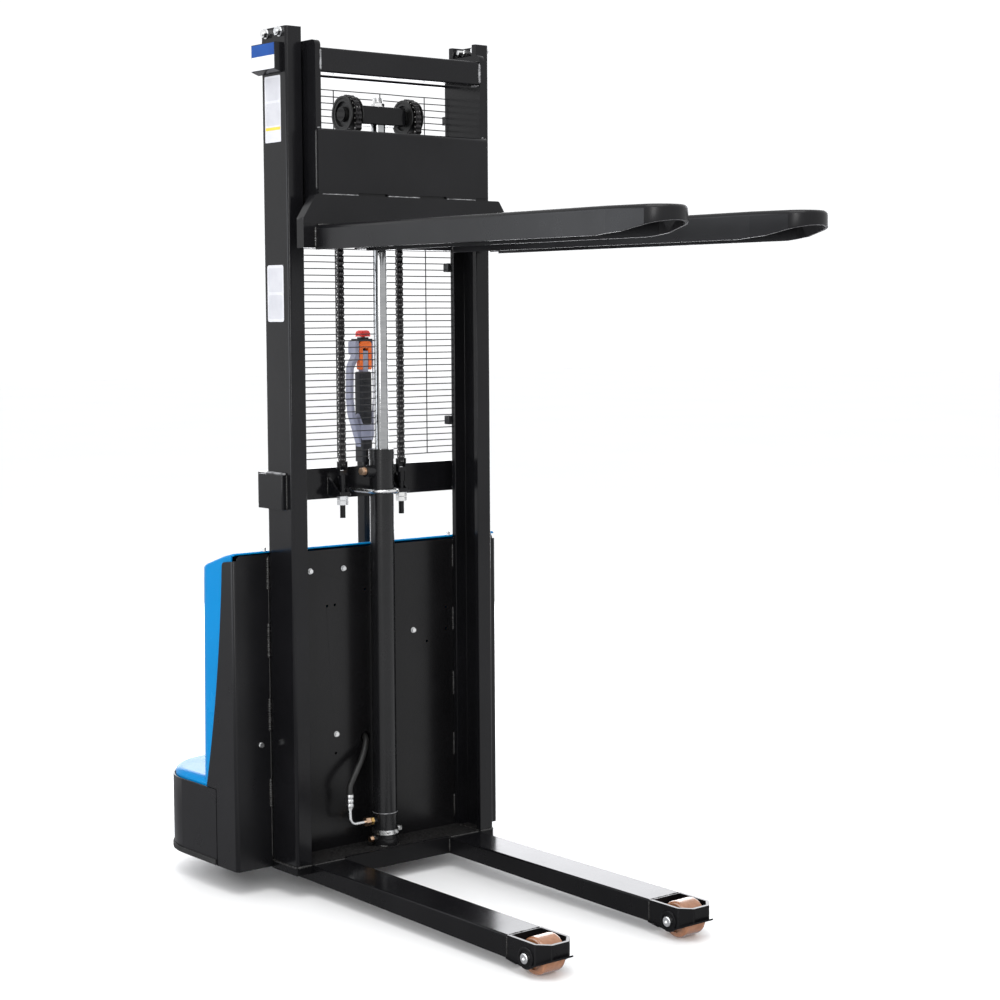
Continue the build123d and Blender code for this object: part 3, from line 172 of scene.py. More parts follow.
# ------------------------------------------------------------------ materials on the CAD nodes
PAINT = {
    "mast_channel_left": BLACK, "mast_channel_right": BLACK, "base_crossmember": BLACK, "support_leg_left": BLACK, "support_leg_right": BLACK,
    "wheel_brackets": BLACK, "load_wheel_axles": ZINC, "mast_crossbars": BLACK, "chain_anchors": ZINC,
    "cylinder_barrel": BLACK_TUBE, "cylinder_gland": BLACK_TUBE, "cylinder_clamps": ZINC, "brass_fittings": BRASS, "lift_hose": HOSE,
    "hose_end_tube": ZINC, "firewall_panel": BLACK_SHEET, "zinc_fasteners": ZINC, "body_side_left": BLACK_SATIN, "body_side_right": BLACK_SATIN,
    "drive_skirt": BLACK_SATIN, "cover_upper": BLUE, "cover_lower": BLUE, "mesh_guard": WIRE, "capacity_plate": BLACK, "rear_chassis": BLACK_SHEET,
    "battery_pack": CASE, "hydraulic_power_unit": ALLOY, "motor_controller": ALLOY, "chain_rear_strands": CHAIN,
    "carriage_plate_left": BLACK, "carriage_plate_right": BLACK, "carriage_top_bar": BLACK, "carriage_backplate": BLACK, "fork_carrier": BLACK,
    "fork_left": BLACK_SATIN, "fork_right": BLACK_SATIN, "carriage_chain_lugs": BLACK, "rollers_upper": STEEL, "rollers_lower": STEEL,
    "piston_rod": CHROME, "crosshead": BLACK, "crosshead_nut": ZINC, "chain_wraps": CHAIN, "chain_front_strands": CHAIN, "chain_sheaves": IRON,
    "load_wheel_left": PU, "load_wheel_right": PU, "drive_unit": ALLOY, "tiller_yoke": BLACK, "drive_wheel": PU, "castor_fork": ZINC, "castor_wheel": TYRE,
    "tiller_arm": BLACK, "tiller_head": GREY, "throttle_paddles": ORANGE, "belly_button": RED, "raise_button": DARK, "lower_button": DARK,
    "estop_button": RED, "key_switch": ZINC,
}


def paint(name, mats, pick=None):
    """First material everywhere; pick(face centre in mm in the mast frame, normal) gives another index."""
    o = nodes[name]
    o.data.materials.clear()
    for m in mats:
        o.data.materials.append(m)
    for p in o.data.polygons:
        i = 0
        if pick:
            c = p.center
            i = pick(Vector((c.x * 1000 - SH, c.y * 1000, c.z * 1000 + GZ)), p.normal)
        p.material_index = i


for n, m in PAINT.items():
    paint(n, [m])


def rad_xz(c, x, z):
    return math.hypot(c.x - x, c.z - z)


TX, TY = -352.0, 155.0           # tiller axis
paint("piston_rod", [CHROME, ZINC, STEEL], lambda c, n: 1 if c.z > 1857.5 else (2 if c.z < 902.5 else 0))
for s_ in ("left", "right"):
    paint("load_wheel_" + s_, [PU, STEEL], lambda c, n: 1 if rad_xz(c, 802, 47) < 17.5 else 0)
paint("drive_wheel", [PU, ALLOY], lambda c, n: 1 if rad_xz(c, -352, 108) < 75 else 0)
paint("castor_wheel", [TYRE, ALLOY], lambda c, n: 1 if rad_xz(c, -382, 68) < 30 else 0)
# crossmember in the darker black copy apart from its mat; legs and brackets keep plain black on top and take the darker
# copy on their sides: painted shade
paint("base_crossmember", [BLACK_PAINTED_SHADE, BLACK_MAT], lambda c, n: 1 if n.z > 0.9 and 81.5 < c.z < 82.5 else 0)
for s_ in ("support_leg_left", "support_leg_right", "wheel_brackets"):
    paint(s_, [BLACK, BLACK_PAINTED_SHADE], lambda c, n: 0 if n.z > 0.7 else 1)
paint("chain_anchors", [BLACK, ZINC], lambda c, n: 1 if c.z < 957.5 and math.hypot(c.x + 98, abs(c.y) - 89) > 7.5 else 0)
paint("brass_fittings", [BRASS, YZINC], lambda c, n: 1 if c.z > 900 or c.z < 115 or c.y < -48.5 else 0)
paint("tiller_yoke", [BLACK, ZINC], lambda c, n: 1 if abs(c.y - TY) > 30.05 else 0)
paint("tiller_head", [GREY, DARK], lambda c, n: 1 if (abs(c.y - TY) < 18.4 and abs(c.x - TX) < 17.6 and 1064 < c.z < 1256) or (c.z < 1076 and abs(c.y - TY) < 18) or (c.z > 1334.6 and abs(c.y - TY) < 24.6) else 0)
paint("hydraulic_power_unit", [ALLOY, CASE], lambda c, n: 1 if c.y < 251 else 0)
paint("battery_pack", [CASE, BRASS], lambda c, n: 1 if c.z > 450.5 else 0)
paint("drive_unit", [BLACK_SHEET, ALLOY], lambda c, n: 1 if c.y > TY + 38.5 and c.z < 212 else 0)


def soften(name, width, seg=2, angle=32.0):
    """Small round on the sharp edges of a CAD node."""
    o = nodes[name]
    w = o.modifiers.new("join", "WELD")
    w.merge_threshold = 0.00002
    b = o.modifiers.new("round", "BEVEL")
    b.width = width / 1000.0
    b.segments = seg
    b.limit_method = "ANGLE"
    b.angle_limit = math.radians(angle)
    b.harden_normals = False
    b.miter_outer = "MITER_ARC"
    return o


for n, wd in {"base_crossmember": 1.5, "wheel_brackets": 1.2, "mast_crossbars": 1.2, "carriage_plate_left": 1.5, "carriage_plate_right": 1.5,
              "fork_carrier": 2.0, "carriage_backplate": 1.0, "crosshead": 1.0, "capacity_plate": 0.6, "drive_skirt": 0.8, "firewall_panel": 0.5,
              "body_side_left": 0.6, "body_side_right": 0.6, "fork_left": 0.9, "fork_right": 0.9, "support_leg_left": 0.9, "support_leg_right": 0.9,
              "mast_channel_left": 0.9, "mast_channel_right": 0.9, "tiller_yoke": 1.2, "motor_controller": 0.8, "rear_chassis": 1.0,
              "chain_sheaves": 0.7, "throttle_paddles": 2.5, "cover_lower": 0.8, "crosshead_nut": 0.5, "brass_fittings": 0.5}.items():
    soften(n, wd)


# ------------------------------------------------------------------ mesh helpers
def make(name, bm, mat, body, smooth=35.0, ride=True):
    bmesh.ops.recalc_face_normals(bm, faces=bm.faces[:])
    me = bpy.data.meshes.new(name)
    bm.to_mesh(me)
    bm.free()
    for m in (mat if isinstance(mat, (list, tuple)) else [mat]):
        me.materials.append(m)
    if smooth:
        me.polygons.foreach_set("use_smooth", [True] * len(me.polygons))
        me.set_sharp_from_angle(angle=math.radians(smooth))
    o = bpy.data.objects.new(name, me)
    scene.collection.objects.link(o)
    if ride:
        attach(o, body)
    return o


def add_ring_tube(bm, pts, radii, seg=10, caps=True, up=None, mi=0):
    """Tube through points (metres) with a radius at each."""
    n = len(pts)
    tang = []
    for i in range(n):
        a, b = pts[max(0, i - 1)], pts[min(n - 1, i + 1)]
        tang.append((b - a).normalized())
    ref = up or (Vector((0, 0, 1)) if abs(tang[0].z) < 0.9 else Vector((1, 0, 0)))
    u = (ref - tang[0] * ref.dot(tang[0])).normalized()
    rings = []
    for i in range(n):
        t = tang[i]
        u = (u - t * u.dot(t)).normalized()
        w = t.cross(u)
        ring = [bm.verts.new(pts[i] + (u * math.cos(2 * math.pi * k / seg) + w * math.sin(2 * math.pi * k / seg)) * radii[i]) for k in range(seg)]
        rings.append(ring)
    for i in range(n - 1):
        for k in range(seg):
            f = bm.faces.new((rings[i][k], rings[i][(k + 1) % seg], rings[i + 1][(k + 1) % seg], rings[i + 1][k]))
            f.material_index = mi
    if caps:
        f = bm.faces.new(rings[0][::-1])
        f.material_index = mi
        f = bm.faces.new(rings[-1])
        f.material_index = mi


def merge(bm, t, mi=0):
    t.verts.index_update()
    vs = [bm.verts.new(v.co) for v in t.verts]
    for f in t.faces:
        try:
            g = bm.faces.new([vs[v.index] for v in f.verts])
            g.material_index = mi
        except ValueError:
            pass
    t.free()


def add_box(bm, x0, x1, y0, y1, z0, z1, bevel=0.0, seg=2, mi=0):
    """Box in mast-frame millimetres, edges rounded."""
    t = bmesh.new()
    bmesh.ops.create_cube(t, size=1.0)
    c = V((x0 + x1) / 2, (y0 + y1) / 2, (z0 + z1) / 2)
    for v in t.verts:
        v.co = Vector((c.x + v.co.x * abs(x1 - x0) / 1000, c.y + v.co.y * abs(y1 - y0) / 1000, c.z + v.co.z * abs(z1 - z0) / 1000))
    if bevel > 0:
        bmesh.ops.bevel(t, geom=t.edges[:], offset=bevel / 1000, segments=seg, profile=0.5, affect="EDGES")
    merge(bm, t, mi)


def add_lathe(bm, origin, axis, profile, seg=32, mi=0):
    """profile: (distance along axis mm, radius mm) pairs; origin in metres."""
    axis = Vector(axis).normalized()
    ref = Vector((0, 0, 1)) if abs(axis.z) < 0.9 else Vector((1, 0, 0))
    u = (ref - axis * ref.dot(axis)).normalized()
    w = axis.cross(u)
    rings = []
    for d, r in profile:
        c = origin + axis * (d / 1000)
        if r <= 1e-6:
            rings.append([bm.verts.new(c)])
        else:
            rings.append([bm.verts.new(c + (u * math.cos(2 * math.pi * k / seg) + w * math.sin(2 * math.pi * k / seg)) * (r / 1000)) for k in range(seg)])
    for a, b in zip(rings[:-1], rings[1:]):
        if len(a) == 1 and len(b) == 1:
            continue
        for k in range(seg):
            k2 = (k + 1) % seg
            if len(a) == 1:
                f = bm.faces.new((a[0], b[k2], b[k]))
            elif len(b) == 1:
                f = bm.faces.new((a[k], a[k2], b[0]))
            else:
                f = bm.faces.new((a[k], a[k2], b[k2], b[k]))
            f.material_index = mi


def add_weld(bm, a, b, r=3.0, seed=0.0, step=2.2):
    """Rippled bead along a straight seam, in mast-frame millimetres."""
    A, B = V(*a), V(*b)
    L = (B - A).length * 1000
    n = max(6, int(L / step))
    pts, rad = [], []
    for i in range(n + 1):
        t = i / n
        p = A.lerp(B, t)
        j = noise.noise(Vector((t * L * 0.11 + seed, seed * 1.7, 0.3)))
        k = noise.noise(Vector((t * L * 0.07 + seed * 3.1, 5.2, seed)))
        p = p + Vector((k, -k, j)) * 0.0005
        e = min(1.0, min(t, 1 - t) * L / 4.0)
        rad.append((r * (0.86 + 0.16 * math.sin(t * L * 1.15 + seed) + 0.16 * j) * (0.35 + 0.65 * math.sqrt(max(e, 0)))) / 1000)
        pts.append(p)
    add_ring_tube(bm, pts, rad, seg=8)


def round_rect(u0, u1, v0, v1, r, seg=5):
    out = []
    for cu, cv, a0 in ((u1 - r, v1 - r, 0), (u0 + r, v1 - r, 90), (u0 + r, v0 + r, 180), (u1 - r, v0 + r, 270)):
        for k in range(seg + 1):
            a = math.radians(a0 + 90.0 * k / seg)
            out.append((cu + r * math.cos(a), cv + r * math.sin(a)))
    return out


def add_slab(bm, outline, place, t0, t1, mi=0, lip=0.0):
    """Flat outline (u, v) extruded from t0 to t1; place(u, v, t) gives a mast-frame point. lip rounds the outer face."""
    cu = sum(p[0] for p in outline) / len(outline)
    cv = sum(p[1] for p in outline) / len(outline)

    def ring(t, inset):
        vs = []
        for u, v in outline:
            du, dv = u - cu, v - cv
            ln = math.hypot(du, dv) or 1.0
            vs.append(bm.verts.new(V(*place(u - du / ln * inset, v - dv / ln * inset, t))))
        return vs

    rings = [ring(t0, 0.0)]
    if lip:
        d = 1 if t1 > t0 else -1
        rings += [ring(t1 - d * lip, 0.0), ring(t1 - d * lip * 0.3, lip * 0.4), ring(t1, lip * 1.1)]
    else:
        rings.append(ring(t1, 0.0))
    m = len(outline)
    for a, b in zip(rings[:-1], rings[1:]):
        for k in range(m):
            f = bm.faces.new((a[k], a[(k + 1) % m], b[(k + 1) % m], b[k]))
            f.material_index = mi
    for vs in (rings[0][::-1], rings[-1]):
        f = bm.faces.new(vs)
        f.material_index = mi


# ------------------------------------------------------------------ wire guard
def build_guard():
    bm = bmesh.new()
    zs = [1048.5 + 16.0 * i for i in range(57)]
    for z in zs:
        pts = []
        for i in range(9):
            y = -272 + 562 * i / 8
            sag = 0.8 * noise.noise(Vector((z * 0.05, y * 0.01, 2.0)))
            pts.append(V(-131 + sag * 0.6, y, z + sag))
        add_ring_tube(bm, pts, [0.00125] * 9, seg=6)
    for y in (-268, -215, -78, 61, 198, 286):
        pts = [V(-133.2, y + 0.5 * noise.noise(Vector((y, i * 0.4, 0))), 1047.3 + (1945.7 - 1047.3) * i / 12) for i in range(13)]
        add_ring_tube(bm, pts, [0.00135] * 13, seg=6)
    for sgn in (-1, 1):
        for z in (1131, 1519, 1888):
            add_box(bm, -128.8, -108.0, sgn * 250, sgn * 280, z - 11, z + 11, 2.0)
            add_box(bm, -136, -128.8, sgn * 262.6, sgn * 280, z - 11, z + 11, 2.0)
            add_lathe(bm, V(-136, sgn * 271, z), (-1, 0, 0), [(-0.5, 5), (1.5, 5), (3.2, 3.6), (3.6, 0)], seg=14)
    o = make("mesh_guard_wires", bm, WIRE, "chassis")
    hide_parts("mesh_guard")


build_guard()

# ------------------------------------------------------------------ leaf chains
PITCH = 12.7
PLATE_T = 2.1
HALF_H = 6.0
LANES = ([-6.9, -2.3, 2.3, 6.9], [-4.6, 0.0, 4.6])


def plate_outline(p, q, h, waist, seg=7):
    """Figure of eight from pin p to pin q in the XZ plane, mm."""
    d = Vector((q[0] - p[0], q[1] - p[1]))
    L = d.length
    e = d / L
    n = Vector((-e.y, e.x))
    out = []
    for k in range(seg + 1):
        a = math.pi / 2 + math.pi * k / seg
        out.append(Vector(p) + e * (h * math.cos(a)) + n * (h * math.sin(a)))
    out.append(Vector(p) + e * (L * 0.5) - n * waist)
    for k in range(seg + 1):
        a = -math.pi / 2 + math.pi * k / seg
        out.append(Vector(q) + e * (h * math.cos(a)) + n * (h * math.sin(a)))
    out.append(Vector(p) + e * (L * 0.5) + n * waist)
    return out


def add_link(bm, p, q, yc, odd, mi=0):
    pts = plate_outline(p, q, HALF_H, 4.2)
    for ly in LANES[0 if odd else 1]:
        lo = [bm.verts.new(V(v.x, yc + ly - PLATE_T / 2, v.y)) for v in pts]
        hi = [bm.verts.new(V(v.x, yc + ly + PLATE_T / 2, v.y)) for v in pts]
        m = len(pts)
        bm.faces.new(lo[::-1])
        bm.faces.new(hi)
        for k in range(m):
            bm.faces.new((lo[k], lo[(k + 1) % m], hi[(k + 1) % m], hi[k]))


def add_pin(bm, p, yc, mi=1):
    add_lathe(bm, V(p[0], yc - 8.7, p[1]), (0, 1, 0), [(0, 0), (0, 1.7), (0.5, 2.25), (16.9, 2.25), (17.4, 1.7), (17.4, 0)], seg=10, mi=mi)


CYL_X, SHEAVE_Z, CHAIN_R, SHEAVE_Y = -57.0, 1880.0, 41.0, 89.0


def add_glints(bm, p, e, yc):
    """Two painted glints: small bright beads on the edge of the inner plates, on both faces of the run."""
    for d in (-1, 1):
        for ly in (-3.45, 3.45):
            add_lathe(bm, V(p[0] + d * e[0] * (HALF_H - 0.5), yc + ly, p[1] + d * e[1] * (HALF_H - 0.5)), (d * e[0], 0, d * e[1]), [(0, 1.15), (0.7, 1.0), (1.0, 0.6), (1.1, 0)], seg=8, mi=1)


def strand(bm, x, z_from, z_to, yc, odd0=False):
    """Straight vertical run from z_from up or down to z_to."""
    d = 1 if z_to > z_from else -1
    n = max(1, round(abs(z_to - z_from) / PITCH))
    p = abs(z_to - z_from) / n
    for i in range(n):
        a, b = z_from + d * p * i, z_from + d * p * (i + 1)
        add_link(bm, (x, a), (x, b), yc, (i % 2 == 0) != odd0)
        add_pin(bm, (x, a), yc)
        add_glints(bm, (x, a), (1.0, 0.0), yc)
    add_pin(bm, (x, z_to), yc)


B_TOP = 1834.0
B_BOT = 1692.0
A_BOT = 1034.0
for side, sgn in (("right", -1), ("left", 1)):
    yc = sgn * SHEAVE_Y
    bm = bmesh.new()
    strand(bm, CYL_X - CHAIN_R, A_BOT, SHEAVE_Z, yc, odd0=True)
    o = make("chain_rear_" + side, bm, [CHAIN, PIN_AND_GLINT], "chassis", smooth=30)
    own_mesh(o)
    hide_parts("chain_rear_strands")

    # over the sheave, then down the front as far as the back plate's upper edge
    bm = bmesh.new()
    n = 10
    pins = [(CYL_X + CHAIN_R * math.cos(math.pi - math.pi * i / n), SHEAVE_Z + CHAIN_R * math.sin(math.pi - math.pi * i / n)) for i in range(n + 1)]
    m = round((SHEAVE_Z - B_TOP) / PITCH)
    pins += [(CYL_X + CHAIN_R, SHEAVE_Z - (SHEAVE_Z - B_TOP) * (i + 1) / m) for i in range(m)]
    for i in range(len(pins) - 1):
        add_link(bm, pins[i], pins[i + 1], yc, i % 2 == 0)
    for i, p in enumerate(pins):
        add_pin(bm, p, yc)
        # painted glints: small bright beads on the plate edges round the sheave
        if i % 2 and i <= n:
            a = math.pi - math.pi * i / n
            add_lathe(bm, V(p[0] + (HALF_H - 0.5) * math.cos(a), yc - 3.45, p[1] + (HALF_H - 0.5) * math.sin(a)), (math.cos(a), 0, math.sin(a)), [(0, 1.15), (0.7, 1.0), (1.0, 0.6), (1.1, 0)], seg=8, mi=1)
            add_lathe(bm, V(p[0] + (HALF_H - 0.5) * math.cos(a), yc + 3.45, p[1] + (HALF_H - 0.5) * math.sin(a)), (math.cos(a), 0, math.sin(a)), [(0, 1.15), (0.7, 1.0), (1.0, 0.6), (1.1, 0)], seg=8, mi=1)
    o = make("chain_wrap_" + side, bm, [CHAIN, PIN_AND_GLINT], "piston", smooth=30)
    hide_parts("chain_wraps")

    # front run: drawn at full length, then folded up behind the back plate for the raised pose
    bm = bmesh.new()
    low_top, low_bot = B_TOP - LIFT / 2, B_BOT - LIFT
    strand(bm, CYL_X + CHAIN_R, low_top, low_bot, yc, odd0=True)
    Ls = B_TOP - B_BOT

    def lowered(z):
        t = max(0.0, min(1.0, (B_TOP + Ls - z) / (2 * Ls)))
        return z - LIFT * t * t * (3 - 2 * t)

    def raised(zt):
        lo_, hi_ = B_BOT - 40.0, B_TOP + Ls
        for _ in range(60):
            mid = (lo_ + hi_) / 2
            if lowered(mid) < zt:
                lo_ = mid
            else:
                hi_ = mid
        return (lo_ + hi_) / 2

    for v in bm.verts:
        v.co.z = (raised(v.co.z * 1000 + GZ) - GZ) / 1000
    o = make("chain_front_" + side, bm, [CHAIN, PIN_AND_GLINT], "chassis", smooth=30, ride=False)
    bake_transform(o)
    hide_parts("chain_front_strands")

# ------------------------------------------------------------------ weld beads
bm = bmesh.new()
for sgn in (-1, 1):
    # side sheets to the uprights
    for i, (a, b) in enumerate(((742, 821), (576, 662), (398, 479), (211, 283))):
        add_weld(bm, (-107.5, sgn * 302.5, a), (-107.5, sgn * 302.5, b), 5.2, seed=i + sgn)
    add_weld(bm, (-108.0, sgn * 300.6, 90), (-108.0, sgn * 300.6, 824), 1.5, seed=3.7 + sgn)
    yi = sgn * 257.0
    for i, (a, b) in enumerate(((752, 812), (588, 650), (420, 482), (262, 322), (104, 160))):
        add_weld(bm, (-107.6, yi, a), (-107.6, yi, b), 3.6, seed=i + 7 + sgn)
    # uprights to the base
    add_weld(bm, (-108, sgn * 300.2, 82.5), (-2, sgn * 300.2, 82.5), 3.0, seed=11 + sgn)
    add_weld(bm, (0.5, sgn * 258, 82.5), (0.5, sgn * 299, 82.5), 3.4, seed=13 + sgn)
    add_weld(bm, (-104, sgn * 256.6, 82.8), (-4, sgn * 256.6, 82.8), 2.6, seed=15 + sgn)
    # side plates at crossbar height
    for a, b in (((-22, 941), (-22, 1023)), ((-108, 941), (-22, 941))):
        add_weld(bm, (a[0], sgn * 300.5, a[1]), (b[0], sgn * 300.5, b[1]), 2.8, seed=a[1] * 0.01 + sgn)
    # chain lugs on the crossbar
    for yy in (72, 106):
        add_weld(bm, (-137.6, sgn * yy, 958), (-137.6, sgn * yy, 1003), 2.4, seed=yy * 0.1 + sgn)
    add_weld(bm, (-137.8, sgn * 74, 956.8), (-137.8, sgn * 104, 956.8), 2.4, seed=3.3 + sgn)
    # legs to the base
    add_weld(bm, (0.3, sgn * 158, 79), (0.3, sgn * 158, 46), 3.0, seed=21 + sgn)
    add_weld(bm, (0.3, sgn * 162, 82), (0.3, sgn * 251, 82), 2.8, seed=23 + sgn)
    # wheel brackets to the legs
    add_weld(bm, (738.2, sgn * 255, 79), (738.2, sgn * 255, 36), 2.0, seed=31 + sgn)
    add_weld(bm, (738.2, sgn * 158, 79), (738.2, sgn * 158, 36), 2.0, seed=33 + sgn)
    add_weld(bm, (738.2, sgn * 162, 81.6), (738.2, sgn * 251, 81.6), 1.8, seed=35 + sgn)
    # top tie
    add_weld(bm, (-108.4, sgn * 298, 1970), (-108.4, sgn * 262, 1970), 2.2, seed=41 + sgn)
    add_weld(bm, (-108.4, sgn * 298, 1976), (-108.4, sgn * 262, 1976), 2.2, seed=43 + sgn)
# cylinder foot
for k in range(4):
    a0, a1 = math.radians(-64 + 90 * k), math.radians(-26 + 90 * k)
    add_weld(bm, (CYL_X + 34.6 * math.cos(a0), 34.6 * math.sin(a0), 83), (CYL_X + 34.6 * math.cos(a1), 34.6 * math.sin(a1), 83), 3.4, seed=45 + k)
make("chassis_welds", bm, WELD, "chassis", smooth=60)

bm = bmesh.new()
for sgn in (-1, 1):
    # top bar ends
    for a, b in (((44, 1967), (44, 2014)), ((8, 1962), (40, 1962)), ((8, 2019), (40, 2019))):
        add_weld(bm, (a[0] - 0.5, sgn * 235, a[1]), (b[0] - 0.5, sgn * 235, b[1]), 3.0, seed=a[1] * 0.02 + sgn)
    # side plates to the back plate and the carrier
    add_weld(bm, (46, sgn * 250, 1690), (46, sgn * 250, 1828), 2.6, seed=51 + sgn)
    add_weld(bm, (46, sgn * 250.5, 1608), (46, sgn * 250.5, 1640), 3.2, seed=53 + sgn)
    add_weld(bm, (44, sgn * 236, 1833), (44, sgn * 249, 1833), 3.0, seed=55 + sgn)
    # fork heels
    yo, yi = sgn * 274.3, sgn * 124.7
    add_weld(bm, (74.6, yo, 1554), (74.6, yo, 1602), 3.6, seed=61 + sgn)
    add_weld(bm, (74.6, yi, 1554), (74.6, yi, 1602), 3.6, seed=63 + sgn)
    add_weld(bm, (74.6, sgn * 268, 1607.4), (74.6, sgn * 131, 1607.4), 3.6, seed=65 + sgn)
    # chain lugs on the carrier
    for yy in (72, 106):
        add_weld(bm, (45.5, sgn * yy, 1612), (45.5, sgn * yy, 1676), 2.2, seed=67 + yy * 0.1 + sgn)
make("carriage_welds", bm, WELD, "carriage", smooth=60)

# weld beads in a light grey painted highlight: stitches between the back plate and the carrier, near fork heels, top
# bar ends
bm = bmesh.new()
for i, (a, b) in enumerate(((-240, -137), (-52, 43), (124, 213))):
    add_weld(bm, (54.6, a, 1679.0), (54.6, b, 1679.0), 2.6, seed=70 + i)
for sgn in (-1, 1):
    add_weld(bm, (74.9, sgn * 274.6, 1556), (74.9, sgn * 274.6, 1600), 2.6, seed=80 + sgn)
    add_weld(bm, (44.2, sgn * 235.0, 1966), (44.2, sgn * 235.0, 2015), 3.6, seed=83 + sgn)
    add_weld(bm, (10, sgn * 235.0, 1961.6), (42, sgn * 235.0, 1961.6), 3.0, seed=86 + sgn)
    add_weld(bm, (45.2, sgn * 238, 1833.4), (45.2, sgn * 247, 1833.4), 2.2, seed=89 + sgn)
make("carriage_welds_painted_highlight", bm, WELD_PAINTED_HIGHLIGHT, "carriage", smooth=60)

# ------------------------------------------------------------------ blank plate and blank labels on the right upright
bm = bmesh.new()
add_slab(bm, round_rect(-116.5, -19.5, 1970.5, 2001.8, 1.5), lambda u, v, t: (u, t, v), -319.5, -320.35)
make("plate_white_field", bm, WHITE, "chassis", smooth=30)
bm = bmesh.new()
add_slab(bm, round_rect(-116.5, -19.5, 2002.0, 2029.5, 1.5), lambda u, v, t: (u, t, v), -319.5, -320.35)
make("plate_blue_field", bm, BAND, "chassis", smooth=30)
bm = bmesh.new()
add_slab(bm, round_rect(-93.0, -26.0, 1803.0, 1957.0, 3.0), lambda u, v, t: (u, t, v), -299.7, -300.3, mi=0)
add_slab(bm, round_rect(-90.5, -28.5, 1831.0, 1838.0, 1.0), lambda u, v, t: (u, t, v), -300.0, -300.38, mi=1)
add_slab(bm, round_rect(-93.0, -24.0, 1384.0, 1517.0, 6.0), lambda u, v, t: (u, t, v), -299.7, -300.3, mi=0)
for x1, z0, z1 in ((-30.0, 1842.0, 1894.0), (-30.0, 1900.0, 1952.0), (-29.0, 1391.0, 1447.0), (-29.0, 1454.0, 1510.0)):
    add_slab(bm, round_rect(-88.0, x1, z0, z1, 5.0), lambda u, v, t: (u, t, v), -300.0, -300.36, mi=2)
make("blank_labels", bm, [LABEL, YELLOW, FIELD], "chassis", smooth=30)

# ------------------------------------------------------------------ small fittings on the body
bm = bmesh.new()
# screws on the upper cover's front edge
for y in (-306, 250):
    add_lathe(bm, V(-117, y, 835.5), (0, 0, 1), [(0, 8.0), (1.6, 8.0), (2.0, 7.4), (2.0, 5.2), (7.6, 5.2), (9.0, 4.0), (9.0, 2.4), (7.2, 2.2), (7.2, 0)], seg=20)
# crimped hose end: three raised bands
for d in (0.8, 12.0, 23.2):
    add_lathe(bm, V(-60, -105, 222 - d), (0, 0, -1), [(0, 9.3), (0.5, 10.0), (1.3, 10.3), (8.7, 10.3), (9.5, 10.0), (10.0, 9.3)], seg=32)


def rear_x(z):
    """Rear face of the upper cover at a height."""
    return -286.0 - 11.0 * (764.0 - z) / 513.0


# cover screws at the rear
for y in (-318, 318):
    for z in (300, 500, 715):
        add_lathe(bm, V(rear_x(z) + 0.6, y, z), (-1, 0, 0), [(0, 7.5), (1.4, 7.5), (2.6, 6.6), (3.4, 4.6), (3.4, 2.2), (2.0, 2.0), (2.0, 0)], seg=20)
make("body_screws", bm, ZINC, "chassis", smooth=35)

bm = bmesh.new()
# stop-button plate, key bezel, charge gauge, all on the leaning rear face
add_lathe(bm, V(rear_x(690) + 0.5, -60, 690), (-1, 0, 0), [(0, 30), (2.2, 30), (3.0, 29.2), (3.0, 12.4), (-1.0, 12.4)], seg=48, mi=0)
add_lathe(bm, V(rear_x(690) + 0.5, -150, 690), (-1, 0, 0), [(0, 21), (1.6, 21), (2.4, 20.2), (2.4, 15.4), (-1.0, 15.4)], seg=40, mi=1)
add_lathe(bm, V(rear_x(690) + 0.5, 40, 690), (-1, 0, 0), [(0, 31), (3.6, 31), (4.6, 30), (4.6, 26.5), (3.0, 25.6), (3.0, 0)], seg=48, mi=1)
add_lathe(bm, V(rear_x(690) - 2.6, 40, 690), (-1, 0, 0), [(0, 25.2), (0.6, 25.0), (0.6, 0)], seg=48, mi=2)
for k in range(9):
    a = math.radians(210 - 30 * k)
    cy_, cz_ = 40 - 20 * math.cos(a), 690 + 20 * math.sin(a)
    add_box(bm, rear_x(690) - 3.5, rear_x(690) - 3.0, cy_ - 1.3, cy_ + 1.3, cz_ - 1.3, cz_ + 1.3, 0.15, 1, mi=3)
# charging socket flap
add_slab(bm, round_rect(-262, -190, 566, 632, 9), lambda u, v, t: (rear_x(v) - t, u, v), -0.6, 5.0, mi=1, lip=1.6)
add_slab(bm, round_rect(-250, -202, 584, 622, 6), lambda u, v, t: (rear_x(v) - t, u, v), 4.0, 6.4, mi=1, lip=0.8)
add_box(bm, rear_x(574) - 8.0, rear_x(574) - 3.0, -252, -200, 571, 578, 1.6, 2, mi=1)
make("rear_controls", bm, [YELLOW, DARK, GLASS, WHITE], "chassis", smooth=35)

# louvres: a flat dark slab painted in as the shade of each opening, with a sloping blade each
bm = bmesh.new()
for y0 in (-262, 60):
    for i in range(6):
        z = 372 + 20 * i
        add_slab(bm, round_rect(y0, y0 + 202, z, z + 8, 3.9), lambda u, v, t: (rear_x(v) - t, u, v), -0.8, 0.35, mi=0)
make("louvre_slot_shade", bm, [DARK], "chassis", smooth=30)
bm = bmesh.new()
for y0 in (-262, 60):
    for i in range(6):
        z = 372 + 20 * i
        add_slab(bm, round_rect(y0 - 1, y0 + 203, z + 7.2, z + 11.4, 2.0), lambda u, v, t: (rear_x(v) - t, u, v), -0.6, 2.6, mi=0, lip=1.2)
make("louvre_blades", bm, [BLUE], "chassis", smooth=40)

